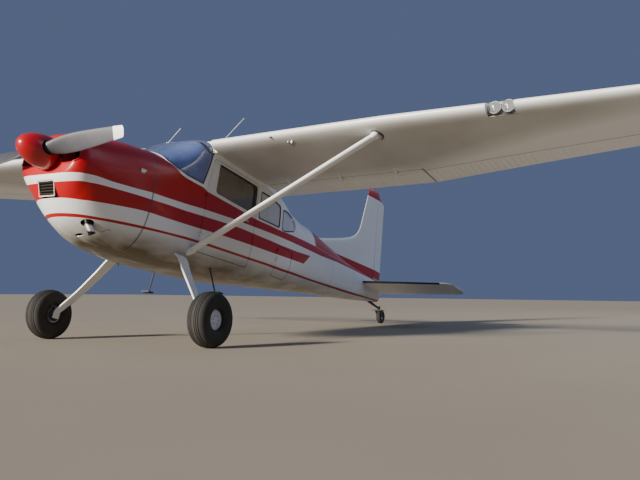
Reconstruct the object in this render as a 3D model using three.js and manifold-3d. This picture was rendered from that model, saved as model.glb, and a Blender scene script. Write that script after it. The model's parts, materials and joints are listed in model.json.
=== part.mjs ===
// High-wing, strut-braced light aircraft on a spring tailwheel gear.
//
// Millimetres. The airframe is laid out level, with its height datum z = 0 just under the propeller shaft:
// x to the left wing tip, y aft, z up. The whole airframe is then pitched nose-up onto its three tyres,
// with the origin on the ground under the middle of its outer box.

import * as THREE from 'three';
import { mergeVertices } from 'three/addons/utils/BufferGeometryUtils.js';
import Module from 'manifold-3d';

const wasm = await Module();
wasm.setup();

// Driving dimensions
const GAP = 0.3;                    // between pieces that are seated on each other
const CLEAR = 6;                    // between pieces that move past each other
const ATTITUDE = 11.93;             // degrees nose-up on its wheels

// Fuselage: one row for each frame. The section is a superellipse about (0, wide) with its own power above
// and below: y, top, bottom, half (greatest half width), wide (height of it), up, low (powers).
const FRAMES = [
  [-859, 226, -193, 352, 0, 2.6, 2.5],
  [-825, 258, -249, 396, 0, 2.6, 2.3],
  [-762, 290, -345, 432, 0, 2.5, 2.05],
  [-686, 318, -442, 452, 0, 2.5, 1.9],
  [-584, 345, -533, 468, 0, 2.5, 2.0],
  [-432, 378, -610, 487, 0, 2.6, 2.2],
  [-241, 417, -668, 508, 0, 2.7, 2.5],
  [0, 450, -691, 528, 0, 2.8, 2.8],
  [203, 480, -699, 536, 0, 3.0, 3.0],
  [356, 565, -697, 538, 0, 3.1, 3.1],
  [508, 665, -691, 538, 0, 3.4, 3.2],
  [660, 768, -682, 538, 0, 4.0, 3.3],
  [787, 848, -671, 538, 0, 4.6, 3.3],
  [965, 888, -658, 538, 0, 5.5, 3.3],
  [1524, 893, -615, 538, 0, 6.0, 3.3],
  [2159, 848, -533, 531, 25, 5.5, 3.2],
  [2540, 798, -467, 505, 50, 3.7, 3.0],
  [2997, 740, -401, 457, 95, 2.3, 2.9],
  [3311, 685, -353, 414, 170, 2.2, 2.8],
  [3607, 668, -307, 371, 185, 2.35, 2.7],
  [4318, 594, -201, 277, 152, 2.6, 2.5],
  [5207, 512, -79, 175, 203, 2.4, 2.3],
  [5969, 500, 41, 102, 229, 2.3, 2.2],
  [6350, 498, 102, 66, 254, 2.2, 2.2],
  [6655, 470, 150, 36, 280, 2.2, 2.2],
];
const NOSE_Y = -859;                // front face of the nose bowl
const BOWL_REAR_Y = -660;
const FIREWALL_Y = 30;
const COWL_SPLIT_Z = -76;           // upper cowl above, lower cowl below
const COWL_SKIN = 8;
const CABIN_REAR_Y = 2997;
const WALL = 30;                    // cabin wall and door thickness
const FLOOR_Z = -440;
const BAGGAGE_Y = 2340;             // the floor steps up here
const BAGGAGE_FLOOR_Z = -352;
const TAIL_END_Y = 6640;

// Wing: constant chord to the break, then tapered
const WING_ROOT_X = 535;
const WING_BREAK_X = 2600;
const WING_TIP_X = 5460;
const WING_LE_Y = 767;
const WING_ROOT_Z = 785;
const ROOT_CHORD = 1632;
const TIP_CHORD = 1130;
const OUTER_SWEEP = 0.042;
const DIHEDRAL = 1.4;
const INCIDENCE = 3.0;
const WASHOUT = 3.0;
const FLAP_HINGE = 0.72;            // fraction of the chord
const AILERON_HINGE = 0.745;
const FLAP_SPAN = [585, 2592];
const AILERON_SPAN = [2608, 5200];
const FLAP_PIVOT_DROP = 45;         // pivot below the flap's lower skin
const LAMP_SPAN = [3626, 3890];     // leading edge recess on the left wing

// Tail
const STAB_Z = 315;
const STAB_HALF_SPAN = 1630;
const STAB_TIP_SPLIT = 1430;
const ELEVATOR_Y = 6270;            // hinge line
const FIN_TOP_Z = 1910;
const CAP_TOP_Z = 2085;
const RUDDER_FOOT_Z = 530;

// Landing gear
const AXLE_Y = 464;
const AXLE_Z = -1255;
const HALF_TRACK = 1135;
const TYRE_R = 274;
const TYRE_W = 216;
const RIM_R = 98;
const TAIL_AXLE_Y = 6745;
const TAIL_PIVOT_Y = 6640;
const TAIL_TYRE_R = 120;
const TAIL_TYRE_W = 82;

// Propeller, on a shaft a little above z = 0
const SHAFT_Z = 38;
const PROP_Y = -978;
const PROP_R = 1041;
const BLADE_RAISED = 4.6;           // degrees, left blade above level
const SPINNER_TIP_Y = -1219;
const SPINNER_BACK_Y = -871;
const SPINNER_R = 158;

const rad = THREE.MathUtils.degToRad;
const V = (x, y, z) => new THREE.Vector3(x, y, z);

// Level tailwheel axle height, so that all three tyres touch one floor
const sinA = Math.sin(rad(ATTITUDE));
const cosA = Math.cos(rad(ATTITUDE));
const LIFT = TYRE_R + sinA * AXLE_Y - cosA * AXLE_Z;
const TAIL_AXLE_Z = (TAIL_TYRE_R - LIFT + sinA * TAIL_AXLE_Y) / cosA;

// Closed mesh to solid and back

function solid(geometry) {
  const bare = geometry.clone();
  for (const name of Object.keys(bare.attributes)) if (name !== 'position') bare.deleteAttribute(name);
  const merged = mergeVertices(bare, 1e-3);
  const index = merged.index.array;
  const kept = [];
  for (let i = 0; i < index.length; i += 3) {
    const [a, b, c] = [index[i], index[i + 1], index[i + 2]];
    if (a !== b && b !== c && c !== a) kept.push(a, b, c);
  }
  return new wasm.Manifold(new wasm.Mesh({
    numProp: 3,
    vertProperties: new Float32Array(merged.attributes.position.array),
    triVerts: new Uint32Array(kept),
  }));
}

function geometryOf(body) {
  const mesh = body.getMesh();
  const geometry = new THREE.BufferGeometry();
  geometry.setAttribute('position', new THREE.BufferAttribute(new Float32Array(mesh.vertProperties), 3));
  geometry.setIndex(new THREE.BufferAttribute(new Uint32Array(mesh.triVerts), 1));
  geometry.computeVertexNormals();
  return geometry;
}

const union = (...bodies) => bodies.reduce((sum, body) => sum.add(body));
const mirrored = (body) => body.mirror([1, 0, 0]);

// A row of equal rings joined into one closed body, its ends closed by fans
function loft(rings) {
  const count = rings[0].length;
  const points = rings.flat();
  const middle = (ring) => ring.reduce((sum, p) => sum.add(p), V(0, 0, 0)).divideScalar(count);
  points.push(middle(rings[0]), middle(rings.at(-1)));
  const triangles = [];
  for (let r = 0; r + 1 < rings.length; r++) {
    for (let i = 0; i < count; i++) {
      const j = (i + 1) % count;
      const [a, b, c, d] = [r * count + i, r * count + j, (r + 1) * count + j, (r + 1) * count + i];
      triangles.push(a, b, c, a, c, d);
    }
  }
  const last = (rings.length - 1) * count;
  for (let i = 0; i < count; i++) {
    const j = (i + 1) % count;
    triangles.push(points.length - 2, j, i, points.length - 1, last + i, last + j);
  }
  let volume = 0;
  for (let i = 0; i < triangles.length; i += 3) {
    const [a, b, c] = triangles.slice(i, i + 3).map((k) => points[k]);
    volume += a.dot(b.clone().cross(c));
  }
  if (volume < 0) triangles.reverse();
  const geometry = new THREE.BufferGeometry();
  const numbers = points.flatMap((p) => p.toArray());
  geometry.setAttribute('position', new THREE.Float32BufferAttribute(numbers, 3));
  geometry.setIndex(triangles);
  return solid(geometry);
}

function box(x0, x1, y0, y1, z0, z1) {
  const geometry = new THREE.BoxGeometry(x1 - x0, y1 - y0, z1 - z0);
  geometry.translate((x0 + x1) / 2, (y0 + y1) / 2, (z0 + z1) / 2);
  return solid(geometry);
}

// A round bar from one point to another, its radius given at both ends
function bar(from, to, radius, sides = 16, endRadius = radius) {
  const geometry = new THREE.CylinderGeometry(endRadius, radius, from.distanceTo(to), sides);
  const turn = new THREE.Quaternion().setFromUnitVectors(V(0, 1, 0), to.clone().sub(from).normalize());
  geometry.applyQuaternion(turn);
  const middle = from.clone().add(to).multiplyScalar(0.5);
  geometry.translate(middle.x, middle.y, middle.z);
  return solid(geometry);
}

// Outline helpers: points are [across, up] pairs, given anticlockwise
function grown(points, distance) {
  return points.map((point, i) => {
    const before = points[(i + points.length - 1) % points.length];
    const after = points[(i + 1) % points.length];
    const d1 = new THREE.Vector2(point[0] - before[0], point[1] - before[1]).normalize();
    const d2 = new THREE.Vector2(after[0] - point[0], after[1] - point[1]).normalize();
    const n1 = new THREE.Vector2(d1.y, -d1.x);
    const n2 = new THREE.Vector2(d2.y, -d2.x);
    const reach = distance / (1 + n1.dot(n2));
    return [point[0] + (n1.x + n2.x) * reach, point[1] + (n1.y + n2.y) * reach];
  });
}

function outline(points, radius = 0) {
  const shape = new THREE.Shape();
  points.forEach((point, i) => {
    const corner = new THREE.Vector2(...point);
    const before = new THREE.Vector2(...points[(i + points.length - 1) % points.length]);
    const after = new THREE.Vector2(...points[(i + 1) % points.length]);
    const into = before.sub(corner);
    const away = after.sub(corner);
    const reach = Math.min(radius, into.length() * 0.45, away.length() * 0.45);
    const start = corner.clone().add(into.setLength(reach));
    const end = corner.clone().add(away.setLength(reach));
    if (i === 0) shape.moveTo(radius ? start.x : corner.x, radius ? start.y : corner.y);
    else shape.lineTo(radius ? start.x : corner.x, radius ? start.y : corner.y);
    if (radius) shape.quadraticCurveTo(corner.x, corner.y, end.x, end.y);
  });
  return shape;
}

function slab(shape, depth) {
  return new THREE.ExtrudeGeometry(shape, { depth, bevelEnabled: false, curveSegments: 4 });
}

// Outline in y and z, extruded along x
function sidePrism(points, x0, x1, radius = 0) {
  const geometry = slab(outline(points, radius), x1 - x0);
  geometry.applyMatrix4(new THREE.Matrix4().makeBasis(V(0, 1, 0), V(0, 0, 1), V(1, 0, 0)));
  geometry.translate(x0, 0, 0);
  return solid(geometry);
}

// Outline in x and z, extruded along y
function frontPrism(points, y0, y1, radius = 0) {
  const geometry = slab(outline(points, radius), y1 - y0);
  geometry.rotateX(Math.PI / 2);
  geometry.translate(0, y1, 0);
  return solid(geometry);
}

// A profile of [radius, along] points turned about an axis that runs along x or y through a point.
// About x, the wheels' axis, one corner of the polygon points straight down on the ground.
function turned(profile, axis, centre, sides) {
  const geometry = new THREE.LatheGeometry(profile.map(([r, a]) => new THREE.Vector2(r, a)), sides);
  if (axis === 'x') geometry.rotateZ(-Math.PI / 2).rotateX(rad(ATTITUDE));
  geometry.translate(centre.x, centre.y, centre.z);
  const body = solid(geometry);
  return body.volume() > 0 ? body : solid(flipped(geometry));
}

function flipped(geometry) {
  const copy = geometry.clone();
  copy.setIndex([...copy.index.array].reverse());
  return copy;
}

// Fuselage surface

// Value of a table column at y, on a smooth curve that never overshoots its rows
function column(rows, k, y) {
  const slope = (i) => (rows[i + 1][k] - rows[i][k]) / (rows[i + 1][0] - rows[i][0]);
  const tangent = (i) => {
    if (i === 0) return slope(0);
    if (i === rows.length - 1) return slope(i - 1);
    const [a, b] = [slope(i - 1), slope(i)];
    return a * b <= 0 ? 0 : (2 * a * b) / (a + b);
  };
  let i = 0;
  while (i < rows.length - 2 && y > rows[i + 1][0]) i++;
  const h = rows[i + 1][0] - rows[i][0];
  const t = (y - rows[i][0]) / h;
  return rows[i][k] * (1 + 2 * t) * (1 - t) ** 2 + h * tangent(i) * t * (1 - t) ** 2
    + rows[i + 1][k] * t * t * (3 - 2 * t) + h * tangent(i + 1) * t * t * (t - 1);
}

const AROUND = 24;

function frame(y, inset = 0) {
  const [top, bottom, half, wide, up, low] = [1, 2, 3, 4, 5, 6].map((k) => column(FRAMES, k, y));
  const power = (value, n) => Math.sign(value) * Math.abs(value) ** (2 / n);
  return Array.from({ length: AROUND }, (_, i) => {
    const angle = (2 * Math.PI * i) / AROUND;
    const [c, s] = [Math.cos(angle), Math.sin(angle)];
    const n = s >= 0 ? up : low;
    const reach = (s >= 0 ? top - wide : wide - bottom) - inset;
    return V((half - inset) * power(c, n), y, wide + reach * power(s, n));
  });
}

// Fuselage from one station to another, its skin set in by a depth
function hull(y0, y1, inset = 0) {
  const ys = [y0, ...FRAMES.map((row) => row[0]).filter((y) => y > y0 + 12 && y < y1 - 12), y1];
  return loft(ys.map((y) => frame(y, inset)));
}

// Wing surface

// NACA 2412: height of the upper (side 1) or lower (side -1) skin over the chord, as fractions of it
function skin(f, side) {
  const [thickness, camber] = [0.12, 0.02];
  const powers = 0.2969 * Math.sqrt(f) - 0.126 * f - 0.3516 * f ** 2 + 0.2843 * f ** 3 - 0.1026 * f ** 4;
  const line = f < 0.4 ? (camber / 0.16) * (0.8 * f - f * f) : (camber / 0.36) * (0.2 + 0.8 * f - f * f);
  return line + side * 5 * thickness * powers;
}

const outward = (x) => Math.max(0, (x - WING_BREAK_X) / (WING_TIP_X - WING_BREAK_X));
const chordAt = (x) => ROOT_CHORD + (TIP_CHORD - ROOT_CHORD) * outward(x);
const twistAt = (x) => rad(INCIDENCE - WASHOUT * outward(x));

// Point of the wing section at x: a fraction of the chord back, a height over the chord line
function wingPoint(x, back, height) {
  const [chord, twist] = [chordAt(x), twistAt(x)];
  const y = WING_LE_Y + OUTER_SWEEP * Math.max(0, x - WING_BREAK_X);
  const z = WING_ROOT_Z + Math.tan(rad(DIHEDRAL)) * (x - WING_ROOT_X);
  return V(x, y + chord * (back * Math.cos(twist) + height * Math.sin(twist)),
    z + chord * (height * Math.cos(twist) - back * Math.sin(twist)));
}

const SECTION = [1, 0.8, 0.58, 0.38, 0.22, 0.1, 0.035, 0.008];

function wingRing(x, squeeze = 1, shrink = 1, place = wingPoint) {
  const at = (f, side) => place(x, 0.5 + (f - 0.5) * shrink, skin(f, side) * squeeze);
  const rearToFront = SECTION.map((f) => at(f, 1));
  return [...rearToFront, at(0, 0), ...SECTION.toReversed().map((f) => at(f, -1))];
}

// Hinge of a control surface in a wing section: middle and half thickness there
function hinge(x, f) {
  const chord = chordAt(x);
  const [over, under] = [skin(f, 1), skin(f, -1)];
  return { centre: wingPoint(x, f, (over + under) / 2), r: (chord * (over - under)) / 2 };
}

const COVE_SIDES = 16;

const circle = (centre, r, sides, axis = 'x') => Array.from({ length: sides }, (_, i) => {
  const angle = (2 * Math.PI * i) / sides;
  const [a, b] = [r * Math.cos(angle), r * Math.sin(angle)];
  return axis === 'x' ? V(centre.x, centre.y + a, centre.z + b) : V(centre.x + a, centre.y + b, centre.z);
});

// Room for a control surface: a round cove about its hinge and all that lies behind it
function cove(x0, x1, f) {
  const round = (x) => {
    const { centre, r } = hinge(x, f);
    return circle(centre, (r + CLEAR) / Math.cos(Math.PI / COVE_SIDES), COVE_SIDES);
  };
  const corners = [[f, 0.09], [1.06, 0.09], [1.06, -0.09], [f, -0.09]];
  const behind = (x) => corners.map(([back, height]) => wingPoint(x, back, height));
  return loft([round(x0), round(x1)]).add(loft([behind(x0), behind(x1)]));
}

// Control surface with a round nose about its hinge
function controlSurface(x0, x1, f) {
  const ring = (x) => {
    const { centre, r } = hinge(x, f);
    const nose = Array.from({ length: 7 }, (_, i) => {
      const angle = Math.PI / 2 + (Math.PI * i) / 6;
      return V(x, centre.y + r * Math.cos(angle), centre.z + r * Math.sin(angle));
    });
    const rear = [0.83, 0.92, 1];
    return [...nose, ...rear.map((b) => wingPoint(x, b, skin(b, -1))),
      ...rear.toReversed().map((b) => wingPoint(x, b, skin(b, 1)))];
  };
  return loft([ring(x0), ring(x1)]);
}

// Hinge plate on the fixed side, and the slot for it in the moving side, both about a point of the hinge
const PLATE = 8;
const EYE_R = 14;
const SLOT_MARGIN = 20;

// A solid made about the x axis, turned to lie about a hinge line and set on it
function onHinge(body, centre, line) {
  const turn = new THREE.Quaternion().setFromUnitVectors(V(1, 0, 0), line);
  return body.transform(new THREE.Matrix4().compose(centre, turn, V(1, 1, 1)).elements);
}

function hingePlate(centre, reach, line = V(1, 0, 0)) {
  const half = PLATE / 2;
  const eye = bar(V(-half, 0, 0), V(half, 0, 0), EYE_R, 16);
  return onHinge(eye.add(box(-half, half, -reach, 0, -9, 9)), centre, line);
}

function hingeSlot(centre, r, line = V(1, 0, 0)) {
  const half = PLATE / 2 + GAP;
  const room = r + SLOT_MARGIN;
  return onHinge(box(-half, half, -room, EYE_R + 3, -room, room), centre, line);
}

function wingLeft() {
  const rings = [wingRing(WING_ROOT_X), wingRing(WING_BREAK_X), wingRing(5330),
    wingRing(5410, 0.72, 0.95), wingRing(WING_TIP_X, 0.2, 0.84)];
  const full = loft(rings);
  let wing = full.subtract(cove(FLAP_SPAN[0] - CLEAR, FLAP_SPAN[1] + CLEAR, FLAP_HINGE));
  wing = wing.subtract(cove(AILERON_SPAN[0] - CLEAR, AILERON_SPAN[1] + CLEAR, AILERON_HINGE));
  let aileron = controlSurface(...AILERON_SPAN, AILERON_HINGE);
  const [inner, outer] = AILERON_SPAN.map((x) => hinge(x, AILERON_HINGE).centre);
  const line = outer.clone().sub(inner).normalize();
  for (const x of AILERON_HINGES) {
    const { r } = hinge(x, AILERON_HINGE);
    const centre = inner.clone().lerp(outer, (x - inner.x) / (outer.x - inner.x));
    wing = wing.add(hingePlate(centre, r + CLEAR + 12, line));
    aileron = aileron.subtract(hingeSlot(centre, r, line));
  }
  let flap = controlSurface(...FLAP_SPAN, FLAP_HINGE);
  for (const x of FLAP_BRACKETS) {
    const pivot = flapPivot(x);
    const top = FLAP_PIVOT_DROP + 10;
    const placed = (points) => points.map(([y, z]) => [pivot.y + y, pivot.z + z]);
    const plate = (x0, points) => sidePrism(placed(points), x0, x0 + PLATE)
      .add(bar(V(x0, pivot.y, pivot.z), V(x0 + PLATE, pivot.y, pivot.z), 16, 16));
    wing = wing.add(plate(x - PLATE, [[-14, -8], [8, 13], [-45, top], [-150, top + 4]]));
    flap = flap.add(plate(x + GAP, [[14, -8], [130, top], [12, top], [-8, 13]]));
  }
  // Landing lamps behind a clear cover in the leading edge
  const [lampA, lampB] = LAMP_SPAN;
  const rear = wingPoint(lampA, 0.095, 0);
  const recess = (inset, back) => box(lampA + inset, lampB - inset, rear.y - 300, rear.y - back,
    rear.z - 200, rear.z + 200);
  const cover = full.subtract(full.translate(0, 5, 0)).intersect(recess(GAP, 8));
  wing = wing.subtract(recess(0, 0));
  const plateY = rear.y - GAP;
  let lamps = box(lampA + GAP, lampB - GAP, plateY - 6, plateY, rear.z - 48, rear.z + 66);
  for (const x of [lampA + 68, lampB - 68]) {
    const { z } = wingPoint(x, 0.08, 0.0085);
    lamps = lamps.add(bar(V(x, plateY - 5, z), V(x, plateY - 50, z), 26, 16, 40));
  }
  return { full, wing, aileron, flap, cover, lamps };
}

const AILERON_HINGES = [2900, 3900, 4900];
const FLAP_BRACKETS = [900, 1600, 2300];

function flapPivot(x) {
  const { centre, r } = hinge(x, FLAP_HINGE);
  return V(x, centre.y, centre.z - r - FLAP_PIVOT_DROP);
}

// Materials: colour, roughness, metalness
const paint = (colour, roughness = 0.35) => ({ color: colour, roughness, metalness: 0.1 });
const WHITE = paint(0xe9e8e2);
const RED = paint(0xb01820);
const GREY = paint(0x8d8f92, 0.45);
const STEEL = { color: 0xb4b4b0, roughness: 0.3, metalness: 0.9 };
const DARK = { color: 0x26262a, roughness: 0.6, metalness: 0.3 };
const RUBBER = { color: 0x1b1b1d, roughness: 0.9, metalness: 0 };
const GLASS = { color: 0xbfd4e4, roughness: 0.05, metalness: 0, transparent: true, opacity: 0.35 };
const CLOTH = { color: 0x6f6c68, roughness: 0.95, metalness: 0 };

const airframe = new THREE.Group();

function piece(name, body, look) {
  const mesh = new THREE.Mesh(geometryOf(body), new THREE.MeshStandardMaterial(look));
  mesh.name = name;
  airframe.add(mesh);
}

function pair(name, body, look) {
  piece(`${name}_left`, body, look);
  piece(`${name}_right`, mirrored(body), look);
}

// Cowling

const shell = (y0, y1, skinDepth) => hull(y0, y1).subtract(hull(y0 + skinDepth, y1 + 20, skinDepth));
const INLET = [[176, -58], [330, -58], [388, -20], [384, 78], [310, 148], [176, 158]];
const INTAKE = [[-106, -350], [106, -350], [106, -208], [-106, -208]];

function cowling() {
  let bowl = shell(NOSE_Y, BOWL_REAR_Y, COWL_SKIN);
  const inlet = frontPrism(INLET, NOSE_Y - 40, NOSE_Y + 90, 40);
  bowl = bowl.subtract(inlet).subtract(mirrored(inlet));
  bowl = bowl.subtract(frontPrism(INTAKE, NOSE_Y - 40, NOSE_Y + 150, 10));
  bowl = bowl.subtract(bar(V(0, NOSE_Y - 40, SHAFT_Z), V(0, NOSE_Y + 40, SHAFT_Z), 110, 20));
  piece('nose_bowl', bowl, RED);

  const filter = frontPrism(grown(INTAKE, -GAP), NOSE_Y - 60, NOSE_Y + 150, 10)
    .intersect(sidePrism([[-838, -200], [-812, -200], [-752, -360], [-790, -360]], -130, 130));
  piece('intake_filter', filter, STEEL);

  const body = shell(BOWL_REAR_Y + GAP - COWL_SKIN, FIREWALL_Y - GAP, COWL_SKIN)
    .intersect(box(-700, 700, BOWL_REAR_Y + GAP, FIREWALL_Y, -800, 800));
  piece('cowl_upper', body.intersect(box(-700, 700, -900, 100, COWL_SPLIT_Z + GAP / 2, 800)), RED);
  let lower = body.intersect(box(-700, 700, -900, 100, -800, COWL_SPLIT_Z - GAP / 2));
  lower = lower.subtract(bar(portAt(60), portAt(-60), PORT_R, 24))
    .subtract(bar(EXHAUST_ROOT, EXHAUST_END, EXHAUST_ROOM_R, 24));
  piece('cowl_lower', lower, WHITE);
}

// One pipe, on the left, from under the engine out through a round port in the cowl's skin
const EXHAUST_R = 35;
const EXHAUST_ROOM_R = 45;
const EXHAUST_ROOT = V(161, -647, -215);
const EXHAUST_END = V(284, -420, -622);
const PORT = V(245, -473, -521);
const PORT_R = 54;
const PORT_INWARD = V(-0.56, 0.28, 0.78).normalize();

const portAt = (depth) => PORT.clone().addScaledVector(PORT_INWARD, depth);

function exhaust() {
  const past = EXHAUST_END.clone().add(EXHAUST_END.clone().sub(EXHAUST_ROOT).setLength(40));
  const inside = bar(EXHAUST_ROOT.clone().lerp(EXHAUST_END, 0.7), past, EXHAUST_R - 3, 16);
  const pipe = bar(EXHAUST_ROOT, EXHAUST_END, EXHAUST_R, 16).subtract(inside)
    .subtract(box(-500, 500, -900, 0, ENGINE_LOW_Z - GAP, 0));
  piece('exhaust', pipe, STEEL);
}

function engine() {
  const shaft = (y0, y1, r) => bar(V(0, y0, SHAFT_Z), V(0, y1, SHAFT_Z), r, 20);
  let block = box(-345, 345, -680, -200, ENGINE_LOW_Z, 200);
  block = block.add(shaft(-670, CRANK_FACE_Y, 62)).add(shaft(-670, -800, 95));
  for (const x of [-230, 230]) {
    for (const z of [-180, 150]) block = block.add(bar(V(x, -210, z), V(x, FIREWALL_Y - GAP, z), 18, 8));
  }
  piece('engine_block', block, DARK);
}

const CRANK_FACE_Y = -885;
const ENGINE_LOW_Z = -225;

// Cabin

const DOOR = [[838, -448], [1795, -396], [1795, 640], [915, 640], [838, 290]];
const DOOR_REAR_GAP = 12;
const BAGGAGE_REAR_GAP = 16;
const DOOR_WINDOW = [[984, 262], [1765, 252], [1765, 600], [1003, 603]];
const MID_WINDOW = [[1867, 243], [2366, 266], [2358, 549], [2042, 580], [1876, 580]];
const AFT_WINDOW = [[2443, 264], [2541, 264], [2865, 361], [2925, 510], [2727, 544], [2587, 550],
  [2446, 529]];
const SCREEN = [[150, 500], [197, 434], [226, 374], [312, 325], [484, 287], [750, 282], [880, 686],
  [870, 920], [150, 920]];
const BAGGAGE_DOOR = [[2400, -345], [2800, -322], [2800, 40], [2400, 40]];
const DOOR_HINGE = { x: 544, y: 835, heights: [-260, 180] };
const BAGGAGE_HINGE = { x: 526, y: 2396, heights: [-140, -30] };

// A door opening is wider behind, where the door's rear edge swings past
const opening = (points, rearGap) => grown(points, CLEAR)
  .map(([y, z]) => [y > points[0][0] + 200 ? y + rearGap - CLEAR : y, z]);

// Door hinge: knuckles one on another on an upright line just outside the skin, each with a leaf to
// its own side
const KNUCKLE = 22;
const KNUCKLE_R = 7;
const LEAF = 34;

function knuckles({ x, y, heights }, moving) {
  return union(...heights.map((z) => {
    const [low, high] = moving ? [z + GAP, z + KNUCKLE] : [z - KNUCKLE, z];
    const [front, rear] = moving ? [y, y + LEAF] : [y - LEAF, y];
    return bar(V(x, y, low), V(x, y, high), KNUCKLE_R, 12).add(box(x - 24, x + 5, front, rear, low, high));
  }));
}

const cabinSkin = (grow) => hull(FIREWALL_Y, CABIN_REAR_Y - GAP, -grow);

function cabin() {
  const outer = cabinSkin(0);
  const inside = (inset) => hull(FIREWALL_Y + 12, CABIN_REAR_Y - 40, inset);
  const clearance = inside(WALL);
  const deep = inside(WALL + CLEAR);
  const rootRings = [-1, 1].map((side) => wingRing(side * (WING_ROOT_X - GAP), 1, 1, centrePoint));
  const roof = outer.add(loft(rootRings).intersect(box(-600, 600, 905, 1930, 0, 1000)));
  const overFloor = box(-600, 600, -300, BAGGAGE_Y, FLOOR_Z, 1000)
    .add(box(-600, 600, BAGGAGE_Y - 1, 3100, BAGGAGE_FLOOR_Z, 1000));
  let tub = roof.subtract(clearance.intersect(overFloor));
  tub = tub.subtract(sidePrism(SCREEN, -700, 700));
  for (const glass of [MID_WINDOW, AFT_WINDOW]) tub = tub.subtract(sidePrism(glass, -700, 700, 50));
  const doorCut = sidePrism(opening(DOOR, DOOR_REAR_GAP), 0, 700, 40).subtract(deep);
  const bagCut = sidePrism(opening(BAGGAGE_DOOR, BAGGAGE_REAR_GAP), 0, 700, 40).subtract(deep);
  tub = tub.subtract(doorCut).subtract(mirrored(doorCut)).subtract(bagCut);
  const doorLeaves = knuckles(DOOR_HINGE, false);
  tub = tub.add(doorLeaves).add(mirrored(doorLeaves)).add(knuckles(BAGGAGE_HINGE, false));
  for (const side of [1, -1]) {
    const leg = gearLeg(GAP);
    const lug = strutLugLow(0);
    tub = tub.subtract(side > 0 ? leg : mirrored(leg)).add(side > 0 ? lug : mirrored(lug));
  }
  piece('cabin', tub, WHITE);

  const doorSolid = outer.subtract(clearance);
  const door = doorSolid.intersect(sidePrism(DOOR, 0, 700, 40));
  pair('door', door.subtract(sidePrism(DOOR_WINDOW, 0, 700, 50)).add(knuckles(DOOR_HINGE, true)), WHITE);
  const baggage = doorSolid.intersect(sidePrism(BAGGAGE_DOOR, 0, 700, 40));
  piece('baggage_door', baggage.add(knuckles(BAGGAGE_HINGE, true)), WHITE);

  const pane = (y0, y1, depth) => hull(y0, y1, depth).subtract(hull(y0 - 9, y1 + 9, depth + 5));
  const panes = pane(900, CABIN_REAR_Y - 200, 7);
  pair('door_window', panes.intersect(sidePrism(grown(DOOR_WINDOW, -GAP), 0, 700, 50)), GLASS);
  pair('mid_window', panes.intersect(sidePrism(grown(MID_WINDOW, -GAP), 0, 700, 50)), GLASS);
  pair('aft_window', panes.intersect(sidePrism(grown(AFT_WINDOW, -GAP), 0, 700, 50)), GLASS);
  const screen = sidePrism(grown(SCREEN, -GAP), -700, 700);
  piece('windscreen', outer.subtract(inside(6)).intersect(screen), GLASS);
  return roof;
}

// The roof takes the wing's own root section right across the cabin
function centrePoint(x, back, height) {
  const point = wingPoint(WING_ROOT_X, back, height);
  return V(x, point.y, point.z);
}

function interior() {
  const room = hull(FIREWALL_Y + 20, 1200, WALL + GAP);
  let panel = room.intersect(box(-600, 600, 330, 372, -95, 402));
  for (const x of [-285, 285]) {
    panel = panel.add(bar(V(x, 360, 60), V(x, 560, 60), 14, 12));
    panel = panel.add(box(x - 120, x + 120, 552, 574, 40, 62));
    for (const end of [-120, 98]) panel = panel.add(box(x + end, x + end + 22, 552, 574, 40, 190));
  }
  piece('instrument_panel', panel, DARK);

  const seat = (x, width, base, y, backTop) => {
    const profile = [[0, -270], [470, -300], [610, backTop], [500, backTop + 10], [370, -160], [0, -130]]
      .map(([back, z]) => [y + back, z]);
    const stand = box(x - base / 2, x + base / 2, y + 60, y + 380, FLOOR_Z + GAP, -240);
    return sidePrism(profile, x - width / 2, x + width / 2, 45).add(stand);
  };
  pair('front_seat', seat(250, 420, 340, 960, 380), CLOTH);
  piece('rear_seat', seat(0, 860, 480, 1700, 330), CLOTH);
}

// Rear fuselage and tail

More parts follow.
